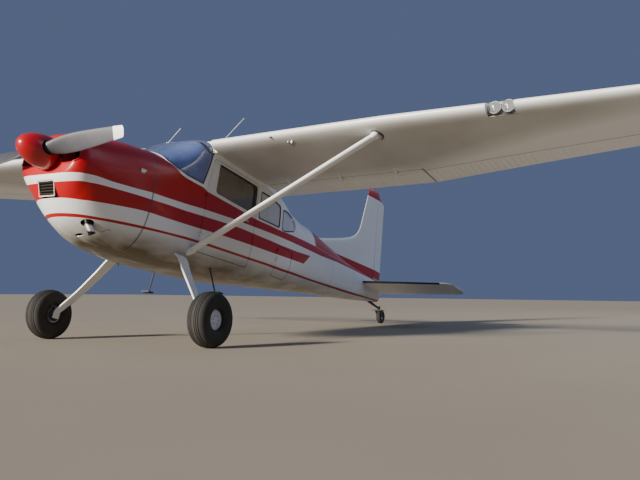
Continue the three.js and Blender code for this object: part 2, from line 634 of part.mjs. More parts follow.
function tail() {
  const torque = bar(V(-160, ELEVATOR_Y, STAB_Z), V(160, ELEVATOR_Y, STAB_Z), 18 + CLEAR, 16);
  const endCut = sidePrism([[6460, 60], [6700, 60], [6700, 480], [6655, 470]], -100, 100);
  const tube = hull(CABIN_REAR_Y, TAIL_END_Y, 0);
  const stab = stabilizer(0);
  let cone = tube.subtract(endCut).subtract(stabilizer(GAP)).subtract(torque);
  cone = cone.subtract(box(-200, 200, ELEVATOR_Y - 60, ELEVATOR_Y + 26, STAB_Z - 26, STAB_Z + 26));
  const spring = tailSpring(GAP);
  cone = cone.subtract(spring);
  piece('tailcone', cone, WHITE);
  piece('stabilizer', stab, WHITE);

  const fin = loft([380, 600, 686, 787, 914, 1026, 1143, 1275, 1600, FIN_TOP_Z].map((z) => finRing(z)))
    .subtract(hull(CABIN_REAR_Y, TAIL_END_Y, -GAP)).subtract(rudderCove());
  let plates = fin;
  let rudder = loft([RUDDER_FOOT_Z, 1200, FIN_TOP_Z + 8].map((z) => rudderRing(z)));
  for (const z of RUDDER_HINGES) {
    plates = plates.add(uprightPlate(z));
    rudder = rudder.subtract(uprightSlot(z));
  }
  const capStations = [[FIN_TOP_Z + 7, 1, 0, 0], [1945, 0.98, 3, 112], [1985, 0.92, 10, 178],
    [2050, 0.7, 45, 245], [CAP_TOP_Z, 0.25, 110, 275]];
  const cap = loft(capStations.map((station) => capRing(...station)));
  piece('fin', plates, WHITE);
  piece('rudder', rudder.add(cap), WHITE);

  let half = loft([92, 700, STAB_HALF_SPAN - 120].map((x) => elevatorRing(x)));
  const horn = [[STAB_TIP_SPLIT + 7, 1, 0], [1540, 0.95, 20], [1600, 0.7, 65], [STAB_HALF_SPAN, 0.25, 125]];
  half = half.add(loft(horn.map(([x, thick, cut]) => hornRing(x, thick, cut))));
  for (const x of ELEVATOR_HINGES) half = half.subtract(hingeSlot(V(x, ELEVATOR_Y, STAB_Z), stabHalf(x)));
  const rod = bar(V(-110, ELEVATOR_Y, STAB_Z), V(110, ELEVATOR_Y, STAB_Z), 18, 16);
  piece('elevators', union(half, mirrored(half), rod), WHITE);
}

const ELEVATOR_HINGES = [330, 1230];
const RUDDER_HINGES = [760, 1300, 1780];
const FIN_HALF = [[400, 44], [1910, 24]];       // z, half thickness at the rudder hinge

const between = ([[a, va], [b, vb]], at) => va + ((vb - va) * (at - a)) / (b - a);
const stabLE = (x) => 5628 + 0.096 * x;
const stabTE = (x) => 6690 - 0.03 * x;
const stabHalf = (x) => between([[0, 40], [STAB_HALF_SPAN, 24]], x);
const hingeLine = (z) => between([[530, 6236], [1930, 6160]], z);
const rudderTE = (z) => between([[530, 6548], [1930, 6455]], z);

// Blunt-nosed section: from the leading edge back to its greatest half thickness, at fractions of the way,
// then straight to the trailing edge
const FRONT = [0, 0.05, 0.16, 0.36, 0.65, 1];
const blunt = (lead, rear, half) => FRONT
  .map((f) => [lead + (rear - lead) * f, half * Math.sqrt(1 - (1 - f) ** 2)]);

// Both sides of a half outline of [along, half thickness] points, which starts on the middle plane
function bothSides(rim, place) {
  return [...rim.map(([y, h]) => place(y, h)), ...rim.slice(1).toReversed().map(([y, h]) => place(y, -h))];
}

function stabSection(x, grow, rear, halfAt = 1, cut = 0) {
  const [lead, half] = [stabLE(x) + cut - grow, (stabHalf(x) + grow) * halfAt];
  return bothSides([...blunt(lead, ELEVATOR_Y - grow, half), ...rear], (y, h) => V(x, y, STAB_Z + h));
}

function stabilizer(grow) {
  const ring = (x) => stabSection(Math.abs(x), grow, []).map((p) => V(x, p.y, p.z));
  let body = loft([-STAB_TIP_SPLIT, -60, 60, STAB_TIP_SPLIT].map(ring));
  const coveRing = (x) => {
    const r = (stabHalf(Math.abs(x)) + CLEAR - grow) / Math.cos(Math.PI / COVE_SIDES);
    return circle(V(x, ELEVATOR_Y, STAB_Z), r, COVE_SIDES);
  };
  body = body.subtract(loft([-1500, 0, 1500].map(coveRing)));
  for (const x of ELEVATOR_HINGES.flatMap((at) => [at, -at])) {
    body = body.add(hingePlate(V(x, ELEVATOR_Y, STAB_Z), stabHalf(Math.abs(x)) + CLEAR + 10));
  }
  return body;
}

function elevatorRing(x) {
  const r = stabHalf(x);
  const nose = Array.from({ length: 7 }, (_, i) => {
    const angle = Math.PI / 2 + (Math.PI * i) / 6;
    return V(x, ELEVATOR_Y + r * Math.cos(angle), STAB_Z + r * Math.sin(angle));
  });
  return [...nose, V(x, stabTE(x), STAB_Z - 3), V(x, stabTE(x), STAB_Z + 3)];
}

function hornRing(x, thick, cut) {
  return stabSection(x, 0, [[stabTE(x) - cut * 2.2, 3]], thick, cut);
}

// Fin and dorsal fin: leading edge by height, from the long low dorsal to the upright fin
const FIN_EDGE = [[380, 3750], [600, 3900], [686, 4270], [787, 4650], [914, 5070], [1026, 5370],
  [1143, 5530], [1275, 5612], [1600, 5700], [FIN_TOP_Z, 5787]];

function finRing(z) {
  const side = blunt(column(FIN_EDGE, 1, z), hingeLine(z), between(FIN_HALF, z));
  return bothSides(side, (y, h) => V(h, y, z));
}

function rudderCove() {
  const ring = (z) => {
    const r = (between(FIN_HALF, z) + CLEAR) / Math.cos(Math.PI / COVE_SIDES);
    return circle(V(0, hingeLine(z), z), r, COVE_SIDES, 'z');
  };
  return loft([ring(300), ring(2000)]);
}

function rudderRing(z) {
  const [y, r] = [hingeLine(z), between(FIN_HALF, z)];
  const nose = Array.from({ length: 7 }, (_, i) => {
    const angle = (Math.PI * i) / 6;
    return V(r * Math.cos(angle), y - r * Math.sin(angle), z);
  });
  return [...nose, V(-3, rudderTE(z), z), V(3, rudderTE(z), z)];
}

function capRing(z, wide, cut, rear) {
  const side = blunt(5790 + cut * 1.6, hingeLine(z), between(FIN_HALF, FIN_TOP_Z) * wide);
  return bothSides([...side, [rudderTE(z) - rear, 3]], (y, h) => V(h, y, z));
}

// Rudder hinge plate, with a washer on it that carries the rudder
const WASHER = 2.7;

function uprightPlate(z) {
  const y = hingeLine(z);
  const eye = bar(V(0, y, z - PLATE / 2), V(0, y, z + PLATE / 2), 13, 16)
    .add(bar(V(0, y, z), V(0, y, z + PLATE / 2 + WASHER), 8, 12));
  return eye.add(box(-8, 8, y - between(FIN_HALF, z) - CLEAR - 10, y, z - PLATE / 2, z + PLATE / 2));
}

function uprightSlot(z) {
  const [y, half] = [hingeLine(z), PLATE / 2 + WASHER + GAP];
  const r = between(FIN_HALF, z) + 20;
  return box(-r, r, y - r, y + 16, z - half, z + half);
}

// Struts

function strutSection(at, along, chord, thick) {
  const forward = V(0, 1, 0).addScaledVector(along, -along.y).normalize();
  const across = along.clone().cross(forward);
  return Array.from({ length: 14 }, (_, i) => {
    const angle = (2 * Math.PI * i) / 14;
    const taper = 1 - 0.35 * Math.cos(angle);
    return at.clone().addScaledVector(forward, (chord / 2) * Math.cos(angle))
      .addScaledVector(across, (thick / 2) * Math.sin(angle) * taper);
  });
}

const STRUT_LOW = V(440, 780, -495);
const STRUT_TOP = V(2500, 962, 758);

function strutLugLow(grow) {
  return box(400 - grow, 510 + grow, 775 - grow, 787 + grow, -530 - grow, -430 + grow);
}

function strutLugTop(grow) {
  return box(2418 - grow, 2478 + grow, 954 - grow, 966 + grow, 680 - grow, 790 + grow);
}

function struts(wingSolid) {
  const along = STRUT_TOP.clone().sub(STRUT_LOW).normalize();
  const at = (t) => STRUT_LOW.clone().lerp(STRUT_TOP, t);
  // Along the strut: fraction of its length, chord, thickness
  const sections = [[-0.01, 96, 40], [0.03, 104, 42], [0.06, 110, 44], [0.95, 110, 44], [0.98, 104, 42],
    [1, 96, 40]];
  let strut = loft(sections.map(([t, chord, thick]) => strutSection(at(t), along, chord, thick)));
  strut = strut.subtract(strutLugLow(GAP)).subtract(strutLugTop(GAP));
  strut = strut.subtract(wingSolid.translate(0, 0, -GAP)).subtract(cabinSkin(GAP));
  return strut;
}

// Landing gear

function leafSection(at, along, wide, thick) {
  const forward = V(0, 1, 0).addScaledVector(along, -along.y).normalize();
  const across = along.clone().cross(forward);
  const corners = [[1, 0.4], [0.8, 1], [-0.8, 1], [-1, 0.4], [-1, -0.4], [-0.8, -1], [0.8, -1], [1, -0.4]];
  return corners.map(([a, b]) => at.clone()
    .addScaledVector(forward, (a * wide) / 2).addScaledVector(across, (b * thick) / 2));
}

// Along the leg: x, y, z, width, thickness
const LEG = [[330, 665, -505, 150, 26], [470, 655, -562, 146, 25], [620, 612, -745, 128, 24],
  [820, 556, -985, 108, 22], [980, 490, -1172, 90, 21], [1018, 468, -1225, 84, 21],
  [1026, AXLE_Y, -1300, 82, 20]];

// Direction of a line of points at one of them
function direction(points, i) {
  return points[Math.min(i + 1, points.length - 1)].clone().sub(points[Math.max(i - 1, 0)]).normalize();
}

function gearLeg(grow) {
  const points = LEG.map(([x, y, z]) => V(x, y, z));
  return loft(LEG.map(([, , , wide, thick], i) => leafSection(points[i], direction(points, i),
    wide + 2 * grow, thick + 2 * grow)));
}

const WHEEL_SIDES = 20;
const AXLE_R = 20;
const BORE = AXLE_R + GAP;
const HUB_OUT = HALF_TRACK + 62;

function mainGear() {
  const leg = gearLeg(0).add(bar(V(1020, AXLE_Y, AXLE_Z), V(HUB_OUT - 14, AXLE_Y, AXLE_Z), AXLE_R, 20));
  pair('gear_leg', leg, WHITE);
  const w = TYRE_W / 2;
  const centre = V(HALF_TRACK, AXLE_Y, AXLE_Z);
  // Bead, side wall, shoulder and tread of one half
  const half = [[RIM_R, 62], [RIM_R + 18, 76], [165, w], [222, w - 6], [258, w - 38], [TYRE_R, 36]];
  const section = [...half.map(([r, a]) => [r, -a]), ...half.toReversed(), [RIM_R, -62]];
  pair('tyre', turned(section, 'x', centre, WHEEL_SIDES), RUBBER);
  // Wheel: brake disc inboard, dished face outboard
  const r = RIM_R - GAP;
  const boreEnd = HUB_OUT - HALF_TRACK - 12;
  const rim = turned([[BORE, -60], [r, -60], [r, 60], [84, 60], [76, 44], [42, 56], [0, 62], [0, boreEnd],
    [BORE, boreEnd], [BORE, -60]], 'x', centre, WHEEL_SIDES);
  const disc = turned([[BORE, -80], [90, -80], [90, -74], [60, -74], [60, -59], [BORE, -59], [BORE, -80]],
    'x', centre, WHEEL_SIDES);
  pair('wheel', rim.add(disc), STEEL);
}

// Tail leaf spring with the swivel socket at its end: y, z, width, thickness
const SPRING = [[6150, 92, 60, 30], [6330, 74, 56, 26], [6480, 58, 50, 20], [6630, 46, 44, 16]];

function tailSpring(grow) {
  const points = SPRING.map(([y, z], i) => V(0, i ? y : y - grow, z));
  const corners = [[1, 1], [-1, 1], [-1, -1], [1, -1]];
  return loft(SPRING.map(([, , wide, thick], i) => {
    const up = V(1, 0, 0).cross(direction(points, i));
    return corners.map(([a, b]) => points[i].clone()
      .add(V(a * (wide / 2 + grow), 0, 0)).addScaledVector(up, b * (thick / 2 + grow)));
  }));
}

const SOCKET_LOW = 18;              // the swivel socket, under the spring's end
const SOCKET_HIGH = 82;
const SWIVEL_R = 12;
const TAIL_AXLE_R = 9;
const ARM = 10;                     // thickness of a fork arm
const TAIL_RIM_R = 52;

function tailwheel() {
  const upright = (low, high, r) => bar(V(0, TAIL_PIVOT_Y, low), V(0, TAIL_PIVOT_Y, high), r, 20);
  const shaftRoom = upright(SOCKET_LOW - 10, SOCKET_HIGH - 12, SWIVEL_R + GAP);
  const socket = upright(SOCKET_LOW, SOCKET_HIGH, 27);
  piece('tail_spring', tailSpring(0).add(socket).subtract(shaftRoom), DARK);

  const crown = SOCKET_LOW - GAP;
  const [front, rear, half] = [TAIL_PIVOT_Y - 28, TAIL_AXLE_Y + 24, TAIL_TYRE_W / 2 + 8];
  const arm = [[front, crown - 26], [TAIL_PIVOT_Y + 8, crown - 44], [TAIL_AXLE_Y - 14, TAIL_AXLE_Z - 22],
    [rear, TAIL_AXLE_Z - 14], [rear, TAIL_AXLE_Z + 18], [TAIL_PIVOT_Y + 20, crown], [front, crown]];
  const pieces = [
    box(-half - ARM, half + ARM, front - 4, TAIL_PIVOT_Y + 12, crown - 22, crown),
    sidePrism(arm, half, half + ARM),
    sidePrism(arm, -half - ARM, -half),
    upright(SOCKET_LOW - 20, SOCKET_HIGH - 14, SWIVEL_R),
    bar(V(-half - 2, TAIL_AXLE_Y, TAIL_AXLE_Z), V(half + 2, TAIL_AXLE_Y, TAIL_AXLE_Z), TAIL_AXLE_R, 16),
    box(-118, 118, TAIL_PIVOT_Y - 30, TAIL_PIVOT_Y - 10, crown - 14, crown - 4),
  ];
  piece('tailwheel_fork', union(...pieces), DARK);

  const w = TAIL_TYRE_W / 2;
  const [bore, rim] = [TAIL_AXLE_R + GAP, TAIL_RIM_R - GAP];
  const centre = V(0, TAIL_AXLE_Y, TAIL_AXLE_Z);
  piece('tailwheel_hub', turned([[bore, 2 - w], [30, 2 - w], [34, -28], [rim, -28], [rim, 28], [34, 28],
    [30, w - 2], [bore, w - 2], [bore, 2 - w]], 'x', centre, 16), STEEL);
  const flank = [[TAIL_RIM_R, 27], [66, w - 4], [88, w], [108, w - 10], [TAIL_TYRE_R, 16]];
  const section = [...flank.map(([r, a]) => [r, -a]), ...flank.toReversed(), [TAIL_RIM_R, -27]];
  piece('tailwheel_tyre', turned(section, 'x', centre, 16), RUBBER);
}

// Propeller and spinner

const HUB_R = 80;
const BLADE_HOLE_R = 64;            // cut in the spinner round each blade root

// Along the blade: radius, chord, thickness, pitch in degrees
const BLADE = [[70, 96, 92, 60], [150, 104, 80, 50], [230, 142, 50, 40], [340, 168, 34, 32],
  [470, 176, 26, 26], [640, 168, 20, 21], [820, 152, 15, 17.5], [960, 132, 11, 15.5], [1030, 116, 8, 15],
  [PROP_R, 106, 5, 15]];

function blade() {
  const sides = 10;
  return loft(BLADE.map(([r, chord, thick, pitch]) => {
    const [c, s] = [Math.cos(rad(pitch)), Math.sin(rad(pitch))];
    const flat = 0.55 + 0.45 * Math.min(1, thick / chord);
    return Array.from({ length: sides }, (_, i) => {
      const angle = (2 * Math.PI * i) / sides;
      const along = (chord / 2) * Math.cos(angle);
      const depth = (thick / 2) * Math.sin(angle) * (Math.sin(angle) > 0 ? 1 : flat);
      // leading edge up and forward on the left blade; the full side faces forward
      return V(r, -along * s - depth * c, along * c - depth * s);
    });
  }));
}

// Propeller and spinner are made about the origin, turned to the blades' angle and set on the shaft
function propeller() {
  const place = (body) => body.rotate([0, -BLADE_RAISED, 0]).translate(0, PROP_Y, SHAFT_Z);
  const hub = bar(V(0, -60, 0), V(0, CRANK_FACE_Y - GAP - PROP_Y, 0), HUB_R, 20);
  const left = blade();
  piece('propeller', place(union(hub, left, left.rotate([0, 180, 0]))), GREY);

  const [tip, back] = [SPINNER_TIP_Y - PROP_Y, SPINNER_BACK_Y - PROP_Y];
  const shoulder = back - 46;
  const nose = (grow) => Array.from({ length: 6 }, (_, i) => {
    const angle = (Math.PI / 2) * (i / 5);
    return [(SPINNER_R - grow) * Math.sin(angle), shoulder - (shoulder - tip - grow) * Math.cos(angle)];
  });
  const outer = [...nose(0), [SPINNER_R - 2, back], [0, back]];
  const inner = [...nose(4), [SPINNER_R - 6, back - 5], [0, back - 5]];
  const collar = bar(V(0, back - 32, 0), V(0, back, 0), HUB_R + 8, 20);
  let spinner = turned(outer, 'y', V(0, 0, 0), 20).subtract(turned(inner, 'y', V(0, 0, 0), 20)).add(collar);
  spinner = spinner.subtract(bar(V(0, back - 50, 0), V(0, back + 20, 0), HUB_R + GAP, 20));
  for (const side of [1, -1]) {
    const root = circle(V(side * HUB_R, 0, 0), BLADE_HOLE_R, 16);
    spinner = spinner.subtract(loft([root, root.map((p) => V(side * 220, p.y, p.z))]));
  }
  piece('spinner', place(spinner), RED);
}

// Small fittings

const WHIP_R = 6;
// Whip antennas: foot and tip
const WHIPS = [
  ['antenna_front', V(-240, 900, 884), V(-240, 1088, 1169)],
  ['antenna_rear', V(203, 1227, 884), V(203, 1722, 1534)],
];

function fittings(roof) {
  for (const [name, foot, tip] of WHIPS) {
    const pad = box(foot.x - 14, foot.x + 14, foot.y - 20, foot.y + 42, foot.z - 20, foot.z + 16);
    piece(name, pad.add(bar(foot, tip, WHIP_R, 8)).subtract(roof.translate(0, 0, GAP)), STEEL);
  }
  const step = bar(V(400, 1238, -520), V(490, 1292, -810), 9, 8).add(box(455, 575, 1250, 1335, -824, -808));
  piece('step_left', step.subtract(cabinSkin(GAP)), DARK);
  piece('step_right', mirrored(step).subtract(cabinSkin(GAP)), DARK);
}

// Pitot tube: a short mast under the left wing and the tube forward from its foot
function pitot(wingSolid) {
  const [x, y, z] = [1535, 900, 705];
  const mast = box(x - 7, x + 7, y - 30, y + 30, z, 800);
  const tube = bar(V(x, y + 30, z), V(x, y - 100, z), 10, 10);
  piece('pitot_tube', mast.add(tube).subtract(wingSolid.translate(0, 0, -GAP)), STEEL);
}

cowling();
exhaust();
engine();
const roof = cabin();
interior();
tail();

const left = wingLeft();
pair('wing', left.wing.add(strutLugTop(0)), WHITE);
pair('aileron', left.aileron, WHITE);
pair('flap', left.flap, WHITE);
piece('lamp_cover', left.cover, GLASS);
piece('landing_lamps', left.lamps, STEEL);
pair('strut', struts(left.full), WHITE);
mainGear();
tailwheel();
propeller();
fittings(roof);
pitot(left.full);

// Nose-up on the ground, origin under the middle of the outer box
airframe.rotation.x = -rad(ATTITUDE);
airframe.position.z = LIFT;
const aircraft = new THREE.Group();
aircraft.add(airframe);
aircraft.updateMatrixWorld(true);
const reach = new THREE.Box3().setFromObject(aircraft, true);
airframe.position.y = -(reach.min.y + reach.max.y) / 2;
aircraft.updateMatrixWorld(true);

export default aircraft;
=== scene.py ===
"""High-wing, strut-braced light aircraft on sprung leaf legs and a tailwheel, finished and lit.

Lengths are millimetres in the level airframe (x to the left tip, y aft, z up from just under the propeller
shaft) until stand() pitches the airframe nose-up on its wheels and turns them into metres.
"""
import json
from functools import reduce
from math import cos, pi, radians, sin, tan

import bpy
import numpy as np
from mathutils import Matrix, Vector

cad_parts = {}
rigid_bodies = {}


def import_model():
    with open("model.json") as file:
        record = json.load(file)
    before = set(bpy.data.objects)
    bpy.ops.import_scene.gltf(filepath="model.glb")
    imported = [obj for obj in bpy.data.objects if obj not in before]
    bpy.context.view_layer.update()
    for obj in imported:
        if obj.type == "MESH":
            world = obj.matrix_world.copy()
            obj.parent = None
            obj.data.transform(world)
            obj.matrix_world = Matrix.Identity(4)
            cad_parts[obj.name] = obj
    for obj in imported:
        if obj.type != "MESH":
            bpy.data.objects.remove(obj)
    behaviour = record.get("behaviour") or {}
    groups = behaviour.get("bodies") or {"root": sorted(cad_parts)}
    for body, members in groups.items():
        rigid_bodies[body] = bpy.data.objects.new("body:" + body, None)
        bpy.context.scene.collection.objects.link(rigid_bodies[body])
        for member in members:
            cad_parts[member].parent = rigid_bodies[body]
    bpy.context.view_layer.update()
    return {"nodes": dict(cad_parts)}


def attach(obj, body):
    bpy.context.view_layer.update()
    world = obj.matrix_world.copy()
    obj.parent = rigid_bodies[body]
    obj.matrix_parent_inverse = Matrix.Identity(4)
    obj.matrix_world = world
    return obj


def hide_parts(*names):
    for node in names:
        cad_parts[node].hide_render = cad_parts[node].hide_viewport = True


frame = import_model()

PITCH = radians(11.93)  # nose-up on the ground
LIFT = 1597.81
AFT = -2764.012
GAP = 0.3  # between parts that touch
CLEAR = 6  # round parts that move


def stand(points):
    """Turned nose-up about x by the pitch, lifted onto the wheels, moved aft, and divided into metres."""
    p = np.asarray(points, float)
    x, y, z = p[..., 0], p[..., 1], p[..., 2]
    aft = cos(PITCH) * y + sin(PITCH) * z + AFT
    up = cos(PITCH) * z - sin(PITCH) * y + LIFT
    return np.stack([x, aft, up], -1) / 1000


# Camera, at the photograph's place: eye in the level frame, then its turn, tilt and roll
EYE = (5586.4, -5183.4, -2162.5)
YAW, TILT, ROLL = 2.103, 0.251, 0.115
FOCAL, FRAME_WIDTH = 734.19, 640  # pixels
SENSOR = 36


def camera():
    """Looks along (cos yaw cos tilt, sin yaw cos tilt, sin tilt), with the frame rolled about that line."""
    ahead = np.array([cos(YAW) * cos(TILT), sin(YAW) * cos(TILT), sin(TILT)])
    right = np.cross(ahead, [0, 0, 1])
    right /= np.linalg.norm(right)
    up = np.cross(right, ahead)
    right, up = right * cos(ROLL) + up * sin(ROLL), up * cos(ROLL) - right * sin(ROLL)
    turn = stand([right * 1000, up * 1000, -ahead * 1000]) - stand([0, 0, 0])
    data = bpy.data.cameras.new("camera")
    data.sensor_width = SENSOR
    data.lens = FOCAL * SENSOR / FRAME_WIDTH
    data.clip_end = 200
    seat = bpy.data.objects.new("camera", data)
    bpy.context.scene.collection.objects.link(seat)
    matrix = np.eye(4)
    matrix[:3, :3] = turn.T
    matrix[:3, 3] = stand(EYE)
    seat.matrix_world = Matrix(matrix.tolist())
    bpy.context.scene.camera = seat


camera()


# Solids


class Body:
    """A closed solid. a + b joins two, a - b cuts b out of a, and a & b keeps what they share."""

    def __init__(self, points=None, faces=None, mesh=None):
        if mesh is None:
            mesh = bpy.data.meshes.new("body")
            mesh.from_pydata(stand(points).tolist(), [], faces)
        self.mesh = mesh

    def worked(self, other, operation):
        scene = bpy.context.scene.collection.objects
        pair = [bpy.data.objects.new("work", body.mesh) for body in (self, other)]
        for item in pair:
            scene.link(item)
        cut = pair[0].modifiers.new("cut", "BOOLEAN")
        cut.operation = operation
        cut.solver = "MANIFOLD"
        cut.object = pair[1]
        view = bpy.context.evaluated_depsgraph_get()
        mesh = bpy.data.meshes.new_from_object(pair[0].evaluated_get(view))
        for item in pair:
            bpy.data.objects.remove(item)
        return Body(mesh=mesh)

    def __add__(self, other):
        return self.worked(other, "UNION")

    def __sub__(self, other):
        return self.worked(other, "DIFFERENCE")

    def __and__(self, other):
        return self.worked(other, "INTERSECT")

    def mirrored(self):
        """The same body on the other side, x turned to -x, its faces turned to point out again."""
        mesh = self.mesh.copy()
        mesh.transform(Matrix.Diagonal((-1, 1, 1, 1)))
        mesh.flip_normals()
        return Body(mesh=mesh)

    def moved(self, aft, up):
        """The same body moved over the ground by metres aft and up."""
        mesh = self.mesh.copy()
        mesh.transform(Matrix.Translation((0, aft, up)))
        return Body(mesh=mesh)


def shaped(points, quads, triangles=None):
    """Faces turned to point out: the sum of the signed volumes under them is made positive."""
    points = np.asarray(points, float)
    fans = [quads[:, [0, 1, 2]], quads[:, [0, 2, 3]]]
    if triangles is not None:
        fans.append(triangles)
    corner = points[np.concatenate(fans)]
    volume = np.einsum("ij,ij->i", corner[:, 0], np.cross(corner[:, 1], corner[:, 2])).sum()
    faces = quads.tolist() + (triangles.tolist() if triangles is not None else [])
    if volume < 0:
        faces = [face[::-1] for face in faces]
    return Body(points, faces)


def loft(rings, endless=False):
    """Closed rings [station, around, xyz], each skinned to the next with quads. The two ends are closed by
    fans on the rings' means, or with endless the last ring is skinned to the first."""
    rings = np.asarray(rings, float)
    count, around, _ = rings.shape
    index = np.arange(count * around).reshape(count, around)
    index = np.vstack([index, index[:1]]) if endless else index
    after = np.roll(index, -1, 1)
    quads = np.stack([index[:-1], after[:-1], after[1:], index[1:]], -1).reshape(-1, 4)
    points = rings.reshape(-1, 3)
    if endless:
        return shaped(points, quads)
    ends = np.array([rings[0].mean(0), rings[-1].mean(0)])
    first = np.stack([np.full(around, len(points)), after[0], index[0]], -1)
    last = np.stack([np.full(around, len(points) + 1), index[-1], after[-1]], -1)
    return shaped(np.vstack([points, ends]), quads, np.vstack([first, last]))


def joined(*bodies):
    """Bodies that needn't touch, kept as one mesh."""
    points, faces, start = [], [], 0
    for body in bodies:
        co = np.zeros(len(body.mesh.vertices) * 3)
        body.mesh.vertices.foreach_get("co", co)
        points.append(co.reshape(-1, 3))
        faces += [[start + v for v in face.vertices] for face in body.mesh.polygons]
        start += len(body.mesh.vertices)
    mesh = bpy.data.meshes.new("body")
    mesh.from_pydata(np.vstack(points).tolist(), [], faces)
    return Body(mesh=mesh)


def circle(count, start=0.0):
    """Unit circle as [around, 2]: cosine and sine of equal angles."""
    angle = start + 2 * pi * np.arange(count) / count
    return np.stack([np.cos(angle), np.sin(angle)], -1)


def hoop(centre, radius, axis="x"):
    """Ring of 48 points about a centre, square to the x axis or the z axis."""
    flat, (c, s) = np.zeros(48), circle(48).T
    return np.asarray(centre, float) + radius * np.stack([flat, c, s] if axis == "x" else [c, s, flat], -1)


def powered(value, power):
    """The size of a value raised to a power, with the value's own sign."""
    return np.sign(value) * abs(value) ** power


def unit_of(vector):
    """A vector, or each row of several, divided by its length."""
    vector = np.asarray(vector, float)
    return vector / np.linalg.norm(vector, axis=-1, keepdims=True)


def normals(path):
    """Two unit normals at each point of a path, square to its tangent by central differences."""
    along = unit_of(np.gradient(path, axis=0))
    guide = [0, 0, 1.0] if abs(along[:, 2]).mean() < 0.8 else [0, 1.0, 0]
    side = unit_of(np.cross(along, guide))
    return side, np.cross(side, along)


def swept(path, radius, sides=16, endless=False):
    """A circle of the radius (one number, or one for each point) carried along a path, square to it."""
    path = np.asarray(path, float)
    if endless:
        side, up = (v[1:-1] for v in normals(np.concatenate([path[-1:], path, path[:1]])))
    else:
        side, up = normals(path)
    radius = np.broadcast_to(radius, len(path))[:, None, None]
    c, s = circle(sides).T[:, None, :, None]
    return loft(path[:, None] + radius * (c * side[:, None] + s * up[:, None]), endless)


def rod(start, end, radius, sides=24):
    return swept(np.linspace(start, end, 2), radius, sides)


def turned(profile, centre, axis="x", sides=64):
    """A closed [radius, along] outline carried round an axis through the centre."""
    profile = np.asarray(profile, float)
    c, s = circle(sides).T[:, :, None]
    r, a = np.maximum(profile[:, 0], 0.05), profile[:, 1]
    wide = np.ones_like(c)
    parts = {"x": [wide * a, c * r, s * r], "y": [c * r, wide * a, s * r], "z": [c * r, s * r, wide * a]}
    return loft(np.stack(parts[axis], -1) + np.asarray(centre, float), endless=True)


def box(x0, x1, y0, y1, z0, z1):
    ring = [[x0, z0], [x1, z0], [x1, z1], [x0, z1]]
    return loft([[[x, y, z] for x, z in ring] for y in (y0, y1)])


def grown(outline, distance):
    """Each side of an anticlockwise outline moved out, and its corners put where the moved sides meet."""
    p = np.asarray(outline, float)
    d1 = p - np.roll(p, 1, 0)
    d2 = np.roll(p, -1, 0) - p
    n1, n2 = (np.stack([d[:, 1], -d[:, 0]], -1) / np.linalg.norm(d, axis=1)[:, None] for d in (d1, d2))
    return p + (n1 + n2) * (distance / (1 + (n1 * n2).sum(1)))[:, None]


def rounded(outline, radius, steps=7):
    """Each corner replaced by a parabola that starts and ends up to the radius from it."""
    p = np.asarray(outline, float)
    into, away = np.roll(p, 1, 0) - p, np.roll(p, -1, 0) - p
    far = [np.linalg.norm(v, axis=1)[:, None] for v in (into, away)]
    reach = np.minimum(radius, 0.45 * np.minimum(*far))
    start, end = p + into / far[0] * reach, p + away / far[1] * reach
    t = np.linspace(0, 1, steps)[None, :, None]
    curve = (1 - t) ** 2 * start[:, None] + 2 * t * (1 - t) * p[:, None] + t**2 * end[:, None]
    return curve.reshape(-1, 2)


def prism(outline, low, high, along="x"):
    """An outline in y and z run along x, or one in x and z run along y, with flat ends."""
    p = np.asarray(outline, float)
    count = len(p)
    ends = []
    for at in (low, high):
        level = np.full(count, float(at))
        ends.append(np.stack([level, *p.T] if along == "x" else [p[:, 0], level, p[:, 1]], -1))
    points = np.concatenate(ends)
    index = np.arange(count)
    after = np.roll(index, -1)
    sides = np.stack([index, after, after + count, index + count], -1).tolist()
    caps = [index[::-1].tolist(), (index + count).tolist()]
    area = (p[:, 0] * np.roll(p[:, 1], -1) - p[:, 1] * np.roll(p[:, 0], -1)).sum()
    faces = sides + caps
    if (area < 0) != (along == "y"):
        faces = [face[::-1] for face in faces]
    return Body(points, faces)


# Finishes


class Value:
    """A number that varies over a surface. Sums, products and comparisons of values are written as Python."""

    def __init__(self, finish, socket):
        self.finish, self.socket = finish, socket

    def maths(self, operation, *inputs, clamped=False):
        return self.finish.add("ShaderNodeMath", {"operation": operation, "use_clamp": clamped}, inputs)

    def __add__(self, other):
        return self.maths("ADD", self, other)

    __radd__ = __add__

    def __sub__(self, other):
        return self.maths("SUBTRACT", self, other)

    def __rsub__(self, other):
        return self.maths("SUBTRACT", other, self)

    def __mul__(self, other):
        return self.maths("MULTIPLY", self, other)

    __rmul__ = __mul__

    def __abs__(self):
        return self.maths("ABSOLUTE", self)

    def __pow__(self, other):
        return self.maths("POWER", self, other)

    def waved(self):
        return self.maths("SINE", self)

    def repeated(self, every):
        """Distance from the nearest whole multiple of a spacing."""
        return self.maths("PINGPONG", self, every / 2)

    def over(self, edge, blur=2.0):
        """1 where the value is above the edge, 0 below it, blurred over a short way."""
        return self.maths("MULTIPLY_ADD", self - edge, 1 / blur, 0.5, clamped=True)

    def under(self, edge, blur=2.0):
        return 1 - self.over(edge, blur)

    def near(self, width):
        """1 where the value is zero, falling to 0 where it is a width from zero."""
        return self.maths("MULTIPLY_ADD", abs(self), -1 / width, 1.0, clamped=True)

    def most(self, other):
        return self.maths("MAXIMUM", self, other)


